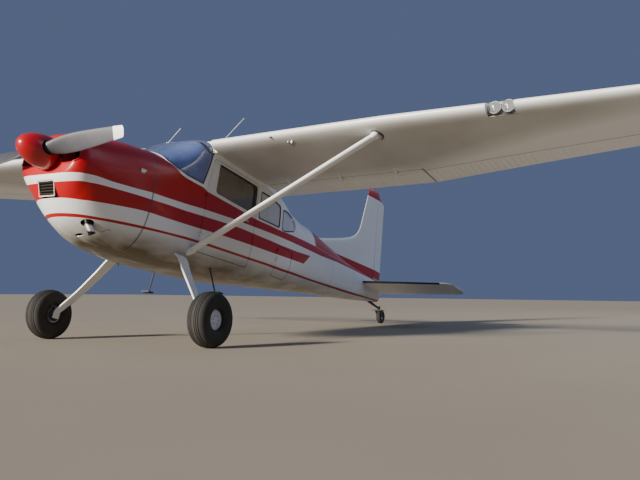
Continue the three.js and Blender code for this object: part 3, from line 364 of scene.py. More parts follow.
class Finish:
    """A material: its fixed numbers are set on the shader, and what varies is fed to it."""

    def __init__(self, name, **fixed):
        self.material = bpy.data.materials.new(name)
        self.material.use_nodes = True
        self.tree = self.material.node_tree
        self.shader = self.tree.nodes["Principled BSDF"]
        self.spot = None
        for socket, value in fixed.items():
            self.shader.inputs[socket.replace("_", " ")].default_value = value

    def add(self, kind, settings=None, inputs=(), output=0):
        """A node of the kind, its settings made first, then its inputs by place or by name."""
        node = self.tree.nodes.new(kind)
        for key, value in (settings or {}).items():
            if key == "points":
                curve = node.mapping.curves[0]
                for _ in value[2:]:
                    curve.points.new(0.5, 0.5)
                for point, spot in zip(curve.points, value):
                    point.location = spot
                    point.handle_type = "VECTOR"
                node.mapping.update()
            elif key == "stops":
                ramp = node.color_ramp.elements
                for _ in value[2:]:
                    ramp.new(0.5)
                for stop, (place, colour) in zip(ramp, value):
                    stop.position, stop.color = place, (*colour, 1)
            else:
                setattr(node, key, value)
        for key, value in inputs.items() if isinstance(inputs, dict) else enumerate(inputs):
            self.join(value, node.inputs[key])
        return Value(self, node.outputs[output])

    def join(self, value, socket):
        if isinstance(value, Value):
            self.tree.links.new(value.socket, socket)
        else:
            socket.default_value = value

    def feed(self, **values):
        for key, value in values.items():
            self.join(value, self.shader.inputs[key.replace("_", " ")])
        return self

    def where(self):
        """Object coordinates in millimetres on the ground: x, y, z."""
        if self.spot is None:
            spot = self.add("ShaderNodeTexCoord", output=3)
            scaled = self.add("ShaderNodeVectorMath", {"operation": "SCALE"}, {0: spot, "Scale": 1000.0})
            parts = [self.add("ShaderNodeSeparateXYZ", inputs=[scaled], output=i) for i in range(3)]
            self.spot = spot, parts
        return self.spot[1]

    def level(self):
        """Place in the level airframe: the ground place moved back by the lift and turned by the pitch."""
        x, y, z = self.where()
        y, z = y - AFT, z - LIFT
        return x, cos(PITCH) * y - sin(PITCH) * z, sin(PITCH) * y + cos(PITCH) * z

    def noise(self, scale, detail=3.0, stretch=(1, 1, 1)):
        self.where()
        spot = self.add("ShaderNodeMapping", inputs={"Vector": self.spot[0], "Scale": stretch})
        return self.add("ShaderNodeTexNoise", inputs={"Vector": spot, "Scale": scale, "Detail": detail})

    def mixed(self, share, first, second):
        """The first colour where the share is 0, the second where it is 1."""
        return self.add("ShaderNodeMix", {"data_type": "RGBA"}, {0: share, 6: first, 7: second}, output=2)

    def height(self, value, distance):
        """A surface raised by a value times a distance in metres."""
        bump = self.add("ShaderNodeBump", inputs={"Height": value, "Distance": distance, "Strength": 1.0})
        return self.feed(Normal=bump)

    def curve(self, along, points):
        """Straight lines from point to point of a table of two columns, read at a value."""
        (a0, a1), (b0, b1) = ([f(p[i] for p in points) for f in (min, max)] for i in (0, 1))
        unit = [((a - a0) / (a1 - a0), (b - b0) / (b1 - b0)) for a, b in points]
        at = self.add("ShaderNodeMapRange", {"clamp": True}, {0: along, 1: a0, 2: a1, 3: 0.0, 4: 1.0})
        return b0 + (b1 - b0) * self.add("ShaderNodeFloatCurve", {"points": unit}, [1.0, at])


def any_of(*shares):
    """The greatest of several values at each place."""
    return reduce(Value.most, shares)


def rgb(r, g, b):
    return (r, g, b, 1.0)


def faded(colour, share, lift=0.0):
    """A colour with its red, green and blue times a share, plus a lift."""
    return rgb(*(share * c + lift for c in colour[:3]))


WHITE, WHITE_WORN = rgb(0.84, 0.84, 0.83), rgb(0.78, 0.78, 0.76)
RED, RED_WORN = rgb(0.47, 0.002, 0.006), rgb(0.36, 0.002, 0.006)
# the second colour is a brown of oil and of painted shade, mixed into the undersides
GRIME, OIL_AND_SHADE = rgb(0.045, 0.04, 0.035), rgb(0.13, 0.10, 0.055)
BOOT_BLACK = rgb(0.014, 0.014, 0.016)

# Edges of the painted bands on the side of the fuselage: y, z
STRIP_TOP = [(-859, -154), (-787, -140), (-646, -124), (-467, -122), (-175, -93), (-2, -69), (217, -52),
             (516, -20), (839, 20), (1310, 68), (1752, 103), (2424, 156), (2922, 197), (3778, 268),
             (4484, 350), (5249, 413), (6200, 470)]
STRIP_LOW = [(-859, -236), (-750, -205), (-615, -190), (-450, -177), (-159, -152), (17, -139), (234, -118),
             (535, -93), (858, -57), (1274, -12), (1543, 11), (2033, 34), (2454, 58), (2949, 103),
             (3411, 165), (3600, 185)]
BAND_LOW = [(-859, -356), (-652, -353), (-511, -336), (-327, -313), (-113, -284), (32, -269), (276, -253),
            (574, -229), (1032, -186), (1330, -160), (1737, -129), (2310, -89), (3213, 2), (3600, 40)]
LINE_TOP = [(-859, -480), (-636, -470), (-429, -459), (-256, -443), (23, -415), (333, -384), (623, -353),
            (1036, -320), (1759, -277), (2576, -218), (3703, -112), (5054, 22), (6022, 115), (6640, 175)]
LINE_LOW = [(-859, -508), (-604, -498), (-549, -491), (-239, -467), (38, -439), (345, -406), (720, -372),
            (1090, -345), (1774, -304), (2603, -245), (3736, -134), (5103, -8), (6057, 96), (6640, 155)]
SILL_LINE = [(-21, 400), (140, 385), (319, 322), (395, 268), (470, 254), (581, 249), (761, 248), (848, 226),
             (988, 224), (1131, 220), (1470, 216), (1816, 205), (2054, 218), (2367, 234), (2731, 274),
             (3161, 319), (3531, 350), (4098, 375), (5249, 470)]


def band_share(finish, y, z):
    """1 on red: the top band between the sill line and the white strip, over the whole deck ahead of the
    screen and behind the cabin; the main band, cut on a slant; and the thin line low down."""
    strip_top = z.over(finish.curve(y, STRIP_TOP))
    edge = z - finish.curve(y, SILL_LINE)
    line = edge.near(7) * y.over(3600)
    deck = y.under(126).most(y.over(3594)) * (1 - line)
    top = strip_top * (1 - edge.over(0)).most(deck)
    ahead = (y - (z - 2) * 1.21).under(3213)
    main = z.under(finish.curve(y, STRIP_LOW)) * z.over(finish.curve(y, BAND_LOW)) * ahead
    thin = z.under(finish.curve(y, LINE_TOP)) * z.over(finish.curve(y, LINE_LOW))
    return any_of(top, main, thin)


RIVET_R = 3.2
SEAM_DEPTH = 0.0016  # metres
RIVET_PROUD = 0.5  # as a share of the depth of a seam
SEAM_DARK, RIVET_DARK = 0.92, 0.14  # shares of grime


def rivet_rows(along, across, every, pitch):
    """Round dots a pitch apart on parallel rows: 1 at the middle of a dot, 0 at its rim."""
    row = across.repeated(every)
    dot = along.repeated(pitch)
    return ((row * row + dot * dot) ** 0.5).near(RIVET_R)


def enamel(name, seams, red=None, rivets=None, black=None, dirt_and_shade=None):
    """Gloss enamel: white, or red where a share says so, a little uneven in colour and gloss, mixed with a
    brown of oil and painted shade where a further share says so, grimy in its seams, with rivets standing
    proud. seams(finish, x, y, z) gives 1 in a seam."""
    f = Finish(name, Roughness=0.3, Coat_Weight=0.15, Coat_Roughness=0.12, Specular_IOR_Level=0.4)
    x, y, z = f.level()
    cloud = f.noise(1.3, 4)
    patch = f.mixed(cloud, WHITE_WORN, WHITE)
    if red is not None:
        patch = f.mixed(red(f, y, z), patch, f.mixed(cloud, RED_WORN, RED))
    # brown of oil and of painted shade on the undersides
    if dirt_and_shade is not None:
        patch = f.mixed(dirt_and_shade(f, x, y, z), patch, OIL_AND_SHADE)
    if black is not None:
        patch = f.mixed(black(f, x, y, z), patch, BOOT_BLACK)
    seam = seams(f, x, y, z)
    colour = f.mixed(seam * SEAM_DARK, patch, GRIME)
    height = 0 - seam
    if rivets is not None:
        dots = rivets(f, x, y, z)
        height = height + dots * RIVET_PROUD
        colour = f.mixed(dots * RIVET_DARK, colour, GRIME)
    f.feed(Base_Color=colour, Roughness=0.24 + f.noise(7.0, 3) * 0.16)
    f.height(height, SEAM_DEPTH)
    return f


def crossing(distance, *limits, width=3.4):
    """1 on a thin line where the distance is zero, between limits given as shares."""
    line = distance.near(width)
    for share in limits:
        line = line * share
    return line


def stroke(u, v, points, width=4.5):
    """1 on a broken line through points of the plane u, v. The distance from a leg is that from its nearest
    point, whose share along the leg is the projection over the length squared, kept between 0 and 1."""
    legs = []
    for (u0, v0), (u1, v1) in zip(points, points[1:]):
        run, rise = u1 - u0, v1 - v0
        along = (u - u0) * run + (v - v0) * rise
        share = along.maths("DIVIDE", along, run**2 + rise**2, clamped=True)
        du, dv = u - u0 - share * run, v - v0 - share * rise
        legs.append(((du * du + dv * dv) ** 0.5).near(width))
    return any_of(*legs)


BELLY_Z = -668  # the ring joints stop short of the belly's middle


def body_seams(f, x, y, z):
    """Joints of the skins: at the firewall, round the body at the frames, and a lap low on the side."""
    part_way = [crossing(y - 34, z.over(BELLY_Z), width=7), crossing(y - 2420, z.under(-200)),
                crossing(y - 3310, z.over(330))]
    all_round = [crossing(y - station) for station in (4318, 5207, 5960)]
    lap = crossing(z - (y - 3000) * 0.085 + 300, y.over(3030))
    return any_of(*part_way, *all_round, lap)


def body_rivets(f, x, y, z):
    rows = rivet_rows(z, y - 2997, every=330.0, pitch=38.0) * y.over(3000)
    return rows.most(rivet_rows(z, y - 18, every=12.0, pitch=44.0) * (y - 45).near(9))


def cowl_seams(f, x, y, z):
    """The joint at the firewall, and under the cowl its middle joint and the edges of the outlet flaps."""
    side = abs(x)
    below = any_of(stroke(y, side, [(-294, 217), (-119, 225), (-49, 156)], 6),
                   stroke(y, side, [(-321, 287), (-292, 341), (-261, 349)]),
                   stroke(y, side, [(-178, 126), (-156, 183)]),
                   crossing(x - 18, y.over(-370)))
    return crossing(y - 26, z.over(BELLY_Z), width=8).most(below * z.under(-450))


def cowl_screws(f, x, y, z):
    side = rivet_rows(y, z + 76, every=4000.0, pitch=96.0)
    return side.most(rivet_rows(z, y - 8, every=5000.0, pitch=74.0))


def plain(f, x, y, z):
    return crossing(y - 9000)


def belly_dirt_and_shade(f, x, y, z):
    """Oil and dust on the underside in streaks drawn out fore and aft, over an even brown that is painted
    shade; both thin up the sides and aft.
    """
    streaks = f.noise(9.0, 5, (1, 0.12, 1)) * f.noise(2.0, 3)
    # the 0.45 is the painted shade, the streaks are oil and dust
    return (streaks * 2.2 + 0.45) * (z - y * 0.09).under(-540, 260)


# the undersides get oil streaks over a painted shade of brown
fuselage_paint = enamel("fuselage_paint", body_seams, band_share, body_rivets, dirt_and_shade=belly_dirt_and_shade)
cowl_paint = enamel("cowl_paint", cowl_seams, band_share, cowl_screws, dirt_and_shade=belly_dirt_and_shade)


# Wing: constant chord to the break, then tapered. WING_Y and WING_Z: leading edge at the root
ROOT_X, BREAK_X, TIP_X = 535, 2600, 5460
WING_Y, WING_Z = 767, 785
ROOT_CHORD, TIP_CHORD = 1632, 1130
DIHEDRAL = tan(radians(1.4))


def wing_gap_shade(f, x, y, z):
    """Painted shade in the gaps ahead of the flap and the aileron, and in the one between them: dark lines on
    the surfaces there.
    """
    side = abs(x)
    flap = crossing(y - 1945, side.over(585), side.under(BREAK_X), width=9)
    line = 1983 - (side - BREAK_X) * 0.0889
    aileron = crossing(y - line, side.over(BREAK_X), side.under(5195), width=8)
    return any_of(flap, aileron, crossing(side - BREAK_X, y.over(1915), width=12))


def wing_rivets(f, x, y, z):
    side = abs(x)
    ribs = rivet_rows(y, side - ROOT_X, every=298.0, pitch=34.0)
    spar = rivet_rows(side, y - 1215, every=4000.0, pitch=30.0)
    return ribs.most(spar) * y.over(830)


def wing_underside_shade(f, x, y, z):
    """Painted shade: a mottled brown under the chord line, which falls 0.0524 for each 1 aft and climbs
    0.0244 outward.
    """
    line = WING_Z + (abs(x) - ROOT_X) * 0.0244 - (y - WING_Y) * 0.0524
    return (z - line).under(-34, 24) * (0.25 + f.noise(2.2, 4) * 0.35)


# brown under the wing and dark lines in its gaps, both painted shade
wing_paint = enamel("wing_paint", wing_gap_shade, None, wing_rivets, dirt_and_shade=wing_underside_shade)


# Stabilizer: its leading edge is at STAB_Y in the middle and runs aft by the sweep for each 1 outward
STAB_Y, STAB_SWEEP = 5628, 0.096


def tail_seams(f, x, y, z):
    side = abs(x)
    return any_of(crossing(side - 420, y.over(5600)), crossing(side - 860), crossing(side - 1290)) * 0.5


def tail_rivets(f, x, y, z):
    return rivet_rows(y, abs(x) - 210, every=216.0, pitch=32.0)


def boot(f, x, y, z):
    """1 on the rubber boot, within 66 mm behind the leading edge."""
    return (y - abs(x) * STAB_SWEEP).under(STAB_Y + 66)


tail_paint = enamel("tail_paint", tail_seams, None, tail_rivets, boot)
elevator_paint = enamel("elevator_paint", tail_seams, None, tail_rivets)


def fin_share(finish, y, z):
    """Red above the slanted edge of the cap, and on the foot below a line that rises aft."""
    cap = (z - (y - 5761) * 0.0816).over(1890)
    foot = (z - (y - 5113) * 0.0523).under(592)
    return cap.most(foot)


def fin_seams(f, x, y, z):
    gap = crossing(y - (6222 - (z - 530) * 0.0543), width=5)
    return gap.most(crossing(y - 5960, z.over(800)) * 0.5)


def fin_rivets(f, x, y, z):
    return rivet_rows(y, z - 640, every=235.0, pitch=32.0) * z.over(620)


fin_paint = enamel("fin_paint", fin_seams, fin_share, fin_rivets)
white_paint = enamel("white_paint", plain)


SHAFT_Z = 38


def spinner_paint():
    f = Finish("spinner_paint", Coat_Weight=0.5, Coat_Roughness=0.08)
    cloud = f.noise(4.0, 4)
    return f.feed(Base_Color=f.mixed(cloud, RED_WORN, RED), Roughness=0.26 + cloud * 0.16)


def blade_paint():
    """Satin grey, a little mottled, with a white tip past a fixed radius."""
    f = Finish("blade_paint", Metallic=0.15)
    x, _, z = f.level()
    up = z - SHAFT_Z
    out = (x * x + up * up) ** 0.5
    grey = f.mixed(f.noise(9.0, 4), rgb(0.055, 0.055, 0.062), rgb(0.085, 0.085, 0.095))
    colour = f.mixed(out.over(925), grey, WHITE)
    return f.feed(Base_Color=colour, Roughness=0.38 + f.noise(20.0, 3) * 0.15)


def metal(name, colour, rough, scratch=40.0, stretch=(1, 1, 1)):
    """Bare metal: tone and gloss vary with fine scratches drawn one way by the stretch."""
    f = Finish(name, Metallic=0.92)
    lines = f.noise(scratch, 4, stretch)
    f.feed(Base_Color=f.mixed(lines, faded(colour, 0.6), colour), Roughness=rough + lines * 0.2)
    return f.height(lines, 0.0003)


def plastic(name, colour, rough, grain=220.0):
    """Moulded or rubbery skin: a fine pebble grain and a dusty bloom."""
    f = Finish(name)
    dust = f.noise(5.0, 4)
    f.feed(Base_Color=f.mixed(dust, colour, faded(colour, 0.6, 0.05)), Roughness=rough + dust * 0.15)
    return f.height(f.noise(grain, 2), 0.0004)


def tyre_rubber():
    """Worn black rubber, dusted brown on the tread and lower wall."""
    f = Finish("tyre_rubber")
    z = f.where()[2]
    dust = f.noise(9.0, 5) * z.under(360, 700)
    colour = f.mixed(dust * 0.5, rgb(0.014, 0.014, 0.014), rgb(0.11, 0.09, 0.07))
    f.feed(Base_Color=colour, Roughness=0.72 + f.noise(30.0, 3) * 0.2)
    return f.height(f.noise(260.0, 3), 0.0006)


def cloth():
    """Woven seat cloth: two sets of fine threads crossing, over a soft mottle."""
    f = Finish("seat_cloth", Sheen_Weight=0.3)
    x, y, z = f.where()
    weave = (x * 2.1).waved() * (z * 2.1 + y * 2.1).waved()
    colour = f.mixed(f.noise(24.0, 4), rgb(0.10, 0.095, 0.085), rgb(0.17, 0.16, 0.145))
    f.feed(Base_Color=colour, Roughness=0.9 + weave * 0.04)
    return f.height(weave, 0.0006)


def clear_panel(name, alpha, dark, pale):
    """Acrylic sheet: see-through, its tint wandering between two, hazier where it is paler."""
    f = Finish(name, Coat_Weight=1.0, Coat_Roughness=0.02, Specular_IOR_Level=0.6)
    haze = f.noise(3.0, 4)
    colour = f.mixed(haze, rgb(*dark), rgb(*pale))
    return f.feed(Base_Color=colour, Roughness=0.04 + haze * 0.06, Alpha=alpha + haze * 0.1)


def exhaust_steel():
    """Heat-stained steel: straw and brown where hot, near-black at the open end, and near-black as painted
    shade where it runs inside the cowl.
    """
    f = Finish("exhaust_steel", Metallic=0.85)
    z = f.level()[2]
    stain = f.noise(14.0, 4)
    colour = f.mixed(stain, rgb(0.72, 0.67, 0.62), rgb(0.50, 0.43, 0.37))
    # near-black above z -545, inside the cowl, is painted shade; below z -600, at the open end, it is
    # near-black too
    colour = f.mixed(z.under(-600, 14).most(z.over(-545, 16)), colour, rgb(0.012, 0.011, 0.010))
    return f.feed(Base_Color=colour, Roughness=0.3 + stain * 0.25)


def wheel_paint():
    f = Finish("wheel_paint", Metallic=0.1)
    dust = f.noise(16.0, 4)
    colour = f.mixed(dust, rgb(0.74, 0.77, 0.84), rgb(0.52, 0.54, 0.58))
    return f.feed(Base_Color=colour, Roughness=0.34 + dust * 0.2)


spinner_enamel = spinner_paint()
blade_enamel = blade_paint()
rubber = tyre_rubber()
seat_cloth = cloth()
screen_clear = clear_panel("screen_clear", 0.62, (0.09, 0.14, 0.36), (0.24, 0.32, 0.62))
door_clear = clear_panel("door_clear", 0.82, (0.10, 0.09, 0.065), (0.19, 0.17, 0.13))
window_clear = clear_panel("window_clear", 0.62, (0.66, 0.70, 0.84), (0.88, 0.92, 1.0))
lamp_clear = clear_panel("lamp_clear", 0.10, (0.2, 0.2, 0.22), (0.3, 0.3, 0.32))
lens_clear = clear_panel("lens_clear", 0.12, (0.5, 0.5, 0.5), (0.7, 0.7, 0.7))
curtain_cloth = plastic("curtain_cloth", rgb(0.88, 0.88, 0.90), 0.9, 300.0)
pipe_steel = exhaust_steel()
hub_paint = wheel_paint()
bright_steel = metal("bright_steel", rgb(0.6, 0.6, 0.59), 0.22)
dull_steel = metal("dull_steel", rgb(0.32, 0.32, 0.33), 0.4)
lamp_metal = metal("lamp_metal", rgb(0.86, 0.86, 0.88), 0.06)
# black rubber for seals, lamp backing and brake line, also used as painted shade by the screen and painted
# shadow at the strut's top
black_rubber_and_shade = plastic("black_rubber_and_shade", rgb(0.015, 0.015, 0.016), 0.6)
dark_plastic = plastic("dark_plastic", rgb(0.03, 0.03, 0.032), 0.55)
duct_red = plastic("duct_red", rgb(0.40, 0.002, 0.008), 0.6)
# near-black set behind openings: painted shade in holes
painted_hole_shade = plastic("painted_hole_shade", rgb(0.008, 0.008, 0.009), 0.85)
spring_paint = plastic("spring_paint", rgb(0.010, 0.010, 0.011), 0.62, 90.0)
whip_paint = plastic("whip_paint", rgb(0.82, 0.82, 0.80), 0.4, 90.0)
olive_metal = metal("olive_metal", rgb(0.06, 0.05, 0.04), 0.5, 30.0, (1, 1, 12))


def piece(name, body, finish, rides="airframe", stands_for=(), sharp=32):
    """Names a body, gives it its finish and smooth shading up to an angle, and sets it on what carries it."""
    mesh = body.mesh
    mesh.name = name
    obj = bpy.data.objects.new(name, mesh)
    bpy.context.scene.collection.objects.link(obj)
    mesh.materials.clear()
    mesh.materials.append(finish.material)
    mesh.shade_smooth()
    mesh.set_sharp_from_angle(angle=radians(sharp))
    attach(obj, rides)
    if stands_for:
        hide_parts(*([stands_for] if isinstance(stands_for, str) else stands_for))
    return obj


def both(name, body, finish, rides="airframe", stands_for=None, sharp=32):
    """A left piece and its mirror image, each on its own side's body and for its own side's node."""
    for side, solid in (("left", body), ("right", body.mirrored())):
        piece(f"{name}_{side}", solid, finish, rides.replace("SIDE", side),
              stands_for.replace("SIDE", side) if stands_for else (), sharp)


# Fuselage surface. The section at a station is a superellipse about (0, wide), with its own power above and
# below: y, top, bottom, half (greatest half width), wide (height of it), up, low (powers)
FRAMES = np.array([
    [-859, 226, -193, 352, 0, 2.6, 2.5],
    [-825, 258, -249, 396, 0, 2.6, 2.3],
    [-762, 290, -345, 432, 0, 2.5, 2.05],
    [-686, 318, -442, 452, 0, 2.5, 1.9],
    [-584, 345, -533, 468, 0, 2.5, 2.0],
    [-432, 378, -610, 487, 0, 2.6, 2.2],
    [-241, 417, -668, 508, 0, 2.7, 2.5],
    [0, 450, -691, 528, 0, 2.8, 2.8],
    [203, 480, -699, 536, 0, 3.0, 3.0],
    [356, 565, -697, 538, 0, 3.1, 3.1],
    [508, 665, -691, 538, 0, 3.4, 3.2],
    [660, 768, -682, 538, 0, 4.0, 3.3],
    [787, 848, -671, 538, 0, 4.6, 3.3],
    [965, 888, -658, 538, 0, 5.5, 3.3],
    [1524, 893, -615, 538, 0, 6.0, 3.3],
    [2159, 848, -533, 531, 25, 5.5, 3.2],
    [2540, 798, -467, 505, 50, 3.7, 3.0],
    [2997, 740, -401, 457, 95, 2.3, 2.9],
    [3311, 685, -353, 414, 170, 2.2, 2.8],
    [3607, 668, -307, 371, 185, 2.35, 2.7],
    [4318, 594, -201, 277, 152, 2.6, 2.5],
    [5207, 512, -79, 175, 203, 2.4, 2.3],
    [5969, 500, 41, 102, 229, 2.3, 2.2],
    [6350, 498, 102, 66, 254, 2.2, 2.2],
    [6655, 470, 150, 36, 280, 2.2, 2.2],
])


NOSE_Y = -859


def column(rows, k, at):
    """A table column read at any place: between two rows, the cubic whose slope at each inner row is the
    harmonic mean of the slopes on either side of it, or none where those disagree."""
    x, v = rows[:, 0], rows[:, k]
    slope = np.diff(v) / np.diff(x)
    before, after = slope[:-1], slope[1:]
    agree = before * after > 0
    inner = np.where(agree, 2 * before * after / np.where(agree, before + after, 1), 0)
    m = np.concatenate([slope[:1], inner, slope[-1:]])
    i = np.clip(np.searchsorted(x, at, "right") - 1, 0, len(x) - 2)
    h = x[i + 1] - x[i]
    t = (at - x[i]) / h
    return (v[i] * (1 + 2 * t) * (1 - t) ** 2 + h * m[i] * t * (1 - t) ** 2
            + v[i + 1] * t * t * (3 - 2 * t) + h * m[i + 1] * t * t * (t - 1))


def sections(y, inset=0.0):
    """Rings [station, around, xyz]: x is the half width times cos to the power 2/n, z the height above or
    below the widest line times sin to the power 2/n, both less the inset."""
    y = np.asarray(y, float)
    inset = np.broadcast_to(inset, y.shape)
    top, bottom, half, wide, up, low = (column(FRAMES, k, y)[:, None] for k in range(1, 7))
    c, s = circle(96).T
    n = np.where(s >= 0, up, low)
    reach = np.where(s >= 0, top - wide, wide - bottom) - inset[:, None]
    x = (half - inset[:, None]) * powered(c, 2 / n)
    z = wide + reach * powered(s, 2 / n)
    return np.stack([x, np.broadcast_to(y[:, None], x.shape), z], -1)


def hull(y0, y1, inset=0.0, step=42):
    """The fuselage between two stations, its skin set in by a depth all round."""
    return loft(sections(np.linspace(y0, y1, max(3, int((y1 - y0) / step) + 1)), inset))


def inside_of_hull(x, y, z):
    """Below 1 inside the fuselage: (|x| / half) to the power n plus (height / reach) to the power n."""
    top, bottom, half, wide, up, low = (column(FRAMES, k, y) for k in range(1, 7))
    n = np.where(z >= wide, up, low)
    reach = np.where(z >= wide, top - wide, wide - bottom)
    return (abs(x) / half) ** n + (abs(z - wide) / reach) ** n


def nose_front(x, z):
    """Station where a line from ahead first meets the nose at x, z: found by halving."""
    low, high = np.full(x.shape, float(NOSE_Y)), np.full(x.shape, -420.0)
    for _ in range(30):
        middle = (low + high) / 2
        outside = inside_of_hull(x, middle, z) > 1
        low, high = np.where(outside, middle, low), np.where(outside, high, middle)
    return high


BOWL_REAR_Y = -660
FIREWALL_Y = 30
COWL_SPLIT_Z = -76
CABIN_REAR_Y = 2997
EDGE_R = 16  # the nose's front edge is rolled on a quarter circle
SKIN = 8
INLET = [[176, -58], [330, -58], [388, -20], [384, 78], [310, 148], [176, 158]]
INTAKE = [[-106, -350], [106, -350], [106, -208], [-106, -208]]


def nose():
    """The bowl with its two cooling inlets, its intake and the hole round the shaft. A rolled lip goes round
    each inlet, with a duct behind it."""
    turn = np.linspace(pi / 2, 0, 6)
    rolled = NOSE_Y + EDGE_R * (1 - np.sin(turn))
    stations = np.concatenate([rolled, np.linspace(NOSE_Y + 24, BOWL_REAR_Y, 22)])
    insets = np.concatenate([EDGE_R * (1 - np.cos(turn)), np.zeros(22)])
    bowl = loft(sections(stations, insets)) - hull(NOSE_Y + 8, BOWL_REAR_Y + 20, SKIN, 20)
    inlet = prism(rounded(INLET, 40), NOSE_Y - 40, NOSE_Y + 90, "y")
    intake = prism(rounded(INTAKE, 10), NOSE_Y - 40, NOSE_Y + 150, "y")
    shaft = rod([0, NOSE_Y - 40, SHAFT_Z], [0, NOSE_Y + 40, SHAFT_Z], 110, sides=64)
    piece("nose_shell", bowl - inlet - inlet.mirrored() - intake - shaft, cowl_paint, stands_for="nose_bowl")

    rim = rounded(INLET, 40, 9)
    foot = nose_front(rim[:, 0], rim[:, 1])
    lip = np.stack([rim[:, 0], foot + 3, rim[:, 1]], -1)
    both("inlet_lip", swept(lip, 8, 12, endless=True), cowl_paint)
    ring = lambda points, y: np.stack([points[:, 0], np.maximum(foot + 8, y), points[:, 1]], -1)
    inner, front, rear = grown(rim, -2), NOSE_Y + 10, -715
    duct = loft([ring(rim, front), ring(rim, rear), ring(inner, rear), ring(inner, front)], endless=True)
    both("inlet_duct", duct, duct_red)


def air_filter():
    """A light frame round slats, its face running aft 0.34 for each 1 down."""
    face_y = lambda z: -838 + (-208 - z) * 0.34
    ring = lambda p, depth: np.stack([p[:, 0], face_y(p[:, 1]) + depth, p[:, 1]], -1)
    outer = grown(INTAKE, -0.5)
    inner = np.array([[-100, -341], [100, -341], [100, -215], [-100, -215]])
    edges = loft([ring(outer, 0), ring(outer, 7), ring(inner, 7), ring(inner, 0)], endless=True)
    piece("filter_frame", edges, whip_paint, stands_for="intake_filter")
    slats = []
    for z in np.linspace(-228, -330, 5):
        y = face_y(z)
        slats.append(prism([[y - 2, z - 8], [y, z - 9], [y + 16, z + 5], [y + 14, z + 7]], -98, 98))
    slats.append(prism([[-820, -214], [-815, -214], [-770, -344], [-775, -344]], -100, 100))
    piece("filter_slats", joined(*slats), olive_metal)


# Exhaust: the pipe's two ends and its radius, and its oval port in the skin
PIPE_ROOT, PIPE_END = np.array([161, -647, -215.0]), np.array([284, -420, -622.0])
PIPE_R = 35
PORT, PORT_INWARD = np.array([245, -473, -521.0]), unit_of([-0.56, 0.28, 0.78])


def port_hole(grow, depths):
    """An oval of half axes 62 and 45 run through the skin, square to the port's inward line."""
    wide = unit_of([0.77, 0.62, 0.15])
    wide = unit_of(wide - PORT_INWARD * (PORT_INWARD @ wide))
    tall = np.cross(PORT_INWARD, wide)
    c, s = circle(56).T[:, :, None]
    return loft([PORT + depth * PORT_INWARD + (62 + grow) * c * wide + (45 + grow) * s * tall
                 for depth in depths])


def cowling():
    """Two cowl skins, a small oval vent with a tray over it, near-black as painted shade, and the pipe with
    its elbow out of the port, ringed inside the skin by a near-black well that is painted shade.
    """
    skin = hull(BOWL_REAR_Y + GAP, FIREWALL_Y - GAP) - hull(BOWL_REAR_Y - 20, FIREWALL_Y + 20, SKIN)
    upper = skin & box(-700, 700, -900, 100, COWL_SPLIT_Z + GAP, 800)
    piece("cowl_top_skin", upper, cowl_paint, stands_for="cowl_upper")
    lower = skin & box(-700, 700, -900, 100, -800, COWL_SPLIT_Z - GAP)
    vent = [85, -402] + circle(32) * [50, 20]
    lower = lower - loft([np.column_stack([vent, np.full(32, z)]) for z in (-680.0, -560.0)])
    # the tray is near-black: painted shade seen through the vent
    piece("vent_shade_tray", box(22, 146, -434, -370, -588, -584), painted_hole_shade)

    along = unit_of(PIPE_ROOT - PIPE_END)
    elbow = PIPE_ROOT + 0.74 * (PIPE_END - PIPE_ROOT)
    lower = lower - port_hole(0, (-60, 60)) - rod(elbow, PIPE_END, PIPE_R + 8, sides=64)
    piece("cowl_low_skin", lower, cowl_paint, stands_for="cowl_lower")

    bend = elbow + 75 * PORT_INWARD
    rise = 0.45 * bend + 0.55 * PIPE_ROOT
    route = [PIPE_END, elbow - 12 * along, elbow + 10 * PORT_INWARD, bend, rise, PIPE_ROOT]
    pipe = swept(route, PIPE_R, 56) + rod(PIPE_END + 9 * along, PIPE_END, PIPE_R + 1.5, sides=56)
    bore = rod(PIPE_END + 110 * along, 1.2 * PIPE_END - 0.2 * PIPE_ROOT, PIPE_R - 2.5, sides=56)
    pipe = pipe - bore - box(-500, 500, -900, 0, PIPE_ROOT[2] - 10 - GAP, 0)
    piece("exhaust_pipe", pipe, pipe_steel, stands_for="exhaust")
    # a near-black wall round the port inside the skin: painted shade in the hole round the pipe
    well = port_hole(7, (-30, 100)) - port_hole(4, (-31, 96)) - swept(route, PIPE_R + 3, 40)
    piece("exhaust_well_shade", well & hull(BOWL_REAR_Y, 0, 9), painted_hole_shade)
    latch = prism([[-171, 87], [-97, 84], [-97, 127], [-169, 127]], 480, 516)
    both("cowl_latch", latch - hull(-300, 60, 1.5), whip_paint)


nose()
air_filter()
cowling()

# Cabin
WALL = 30
FLOOR_Z = -440
BAGGAGE_Y = 2340
BAGGAGE_FLOOR_Z = -352
DOOR = [[838, -448], [1795, -396], [1795, 640], [915, 640], [838, 290]]
DOOR_WINDOW = [[984, 262], [1765, 252], [1765, 600], [1003, 603]]
DOOR_SEAL_INNER = [[940, 215], [1713, 215], [1713, 589], [950, 592]]  # the seal shows above and behind
MID_WINDOW = [[1867, 243], [2366, 266], [2358, 549], [2042, 580], [1876, 580]]
AFT_WINDOW = [[2443, 264], [2541, 264], [2865, 361], [2925, 510], [2727, 544], [2587, 550], [2446, 529]]
SCREEN = [[150, 500], [197, 434], [226, 374], [312, 325], [484, 287], [750, 282], [880, 686], [870, 920],
          [150, 920]]
BAGGAGE_DOOR = [[2400, -345], [2800, -322], [2800, 40], [2400, 40]]
ACROSS, LEFT = (-700, 700), (0, 700)  # runs of an outline: through both sides, or through the left one


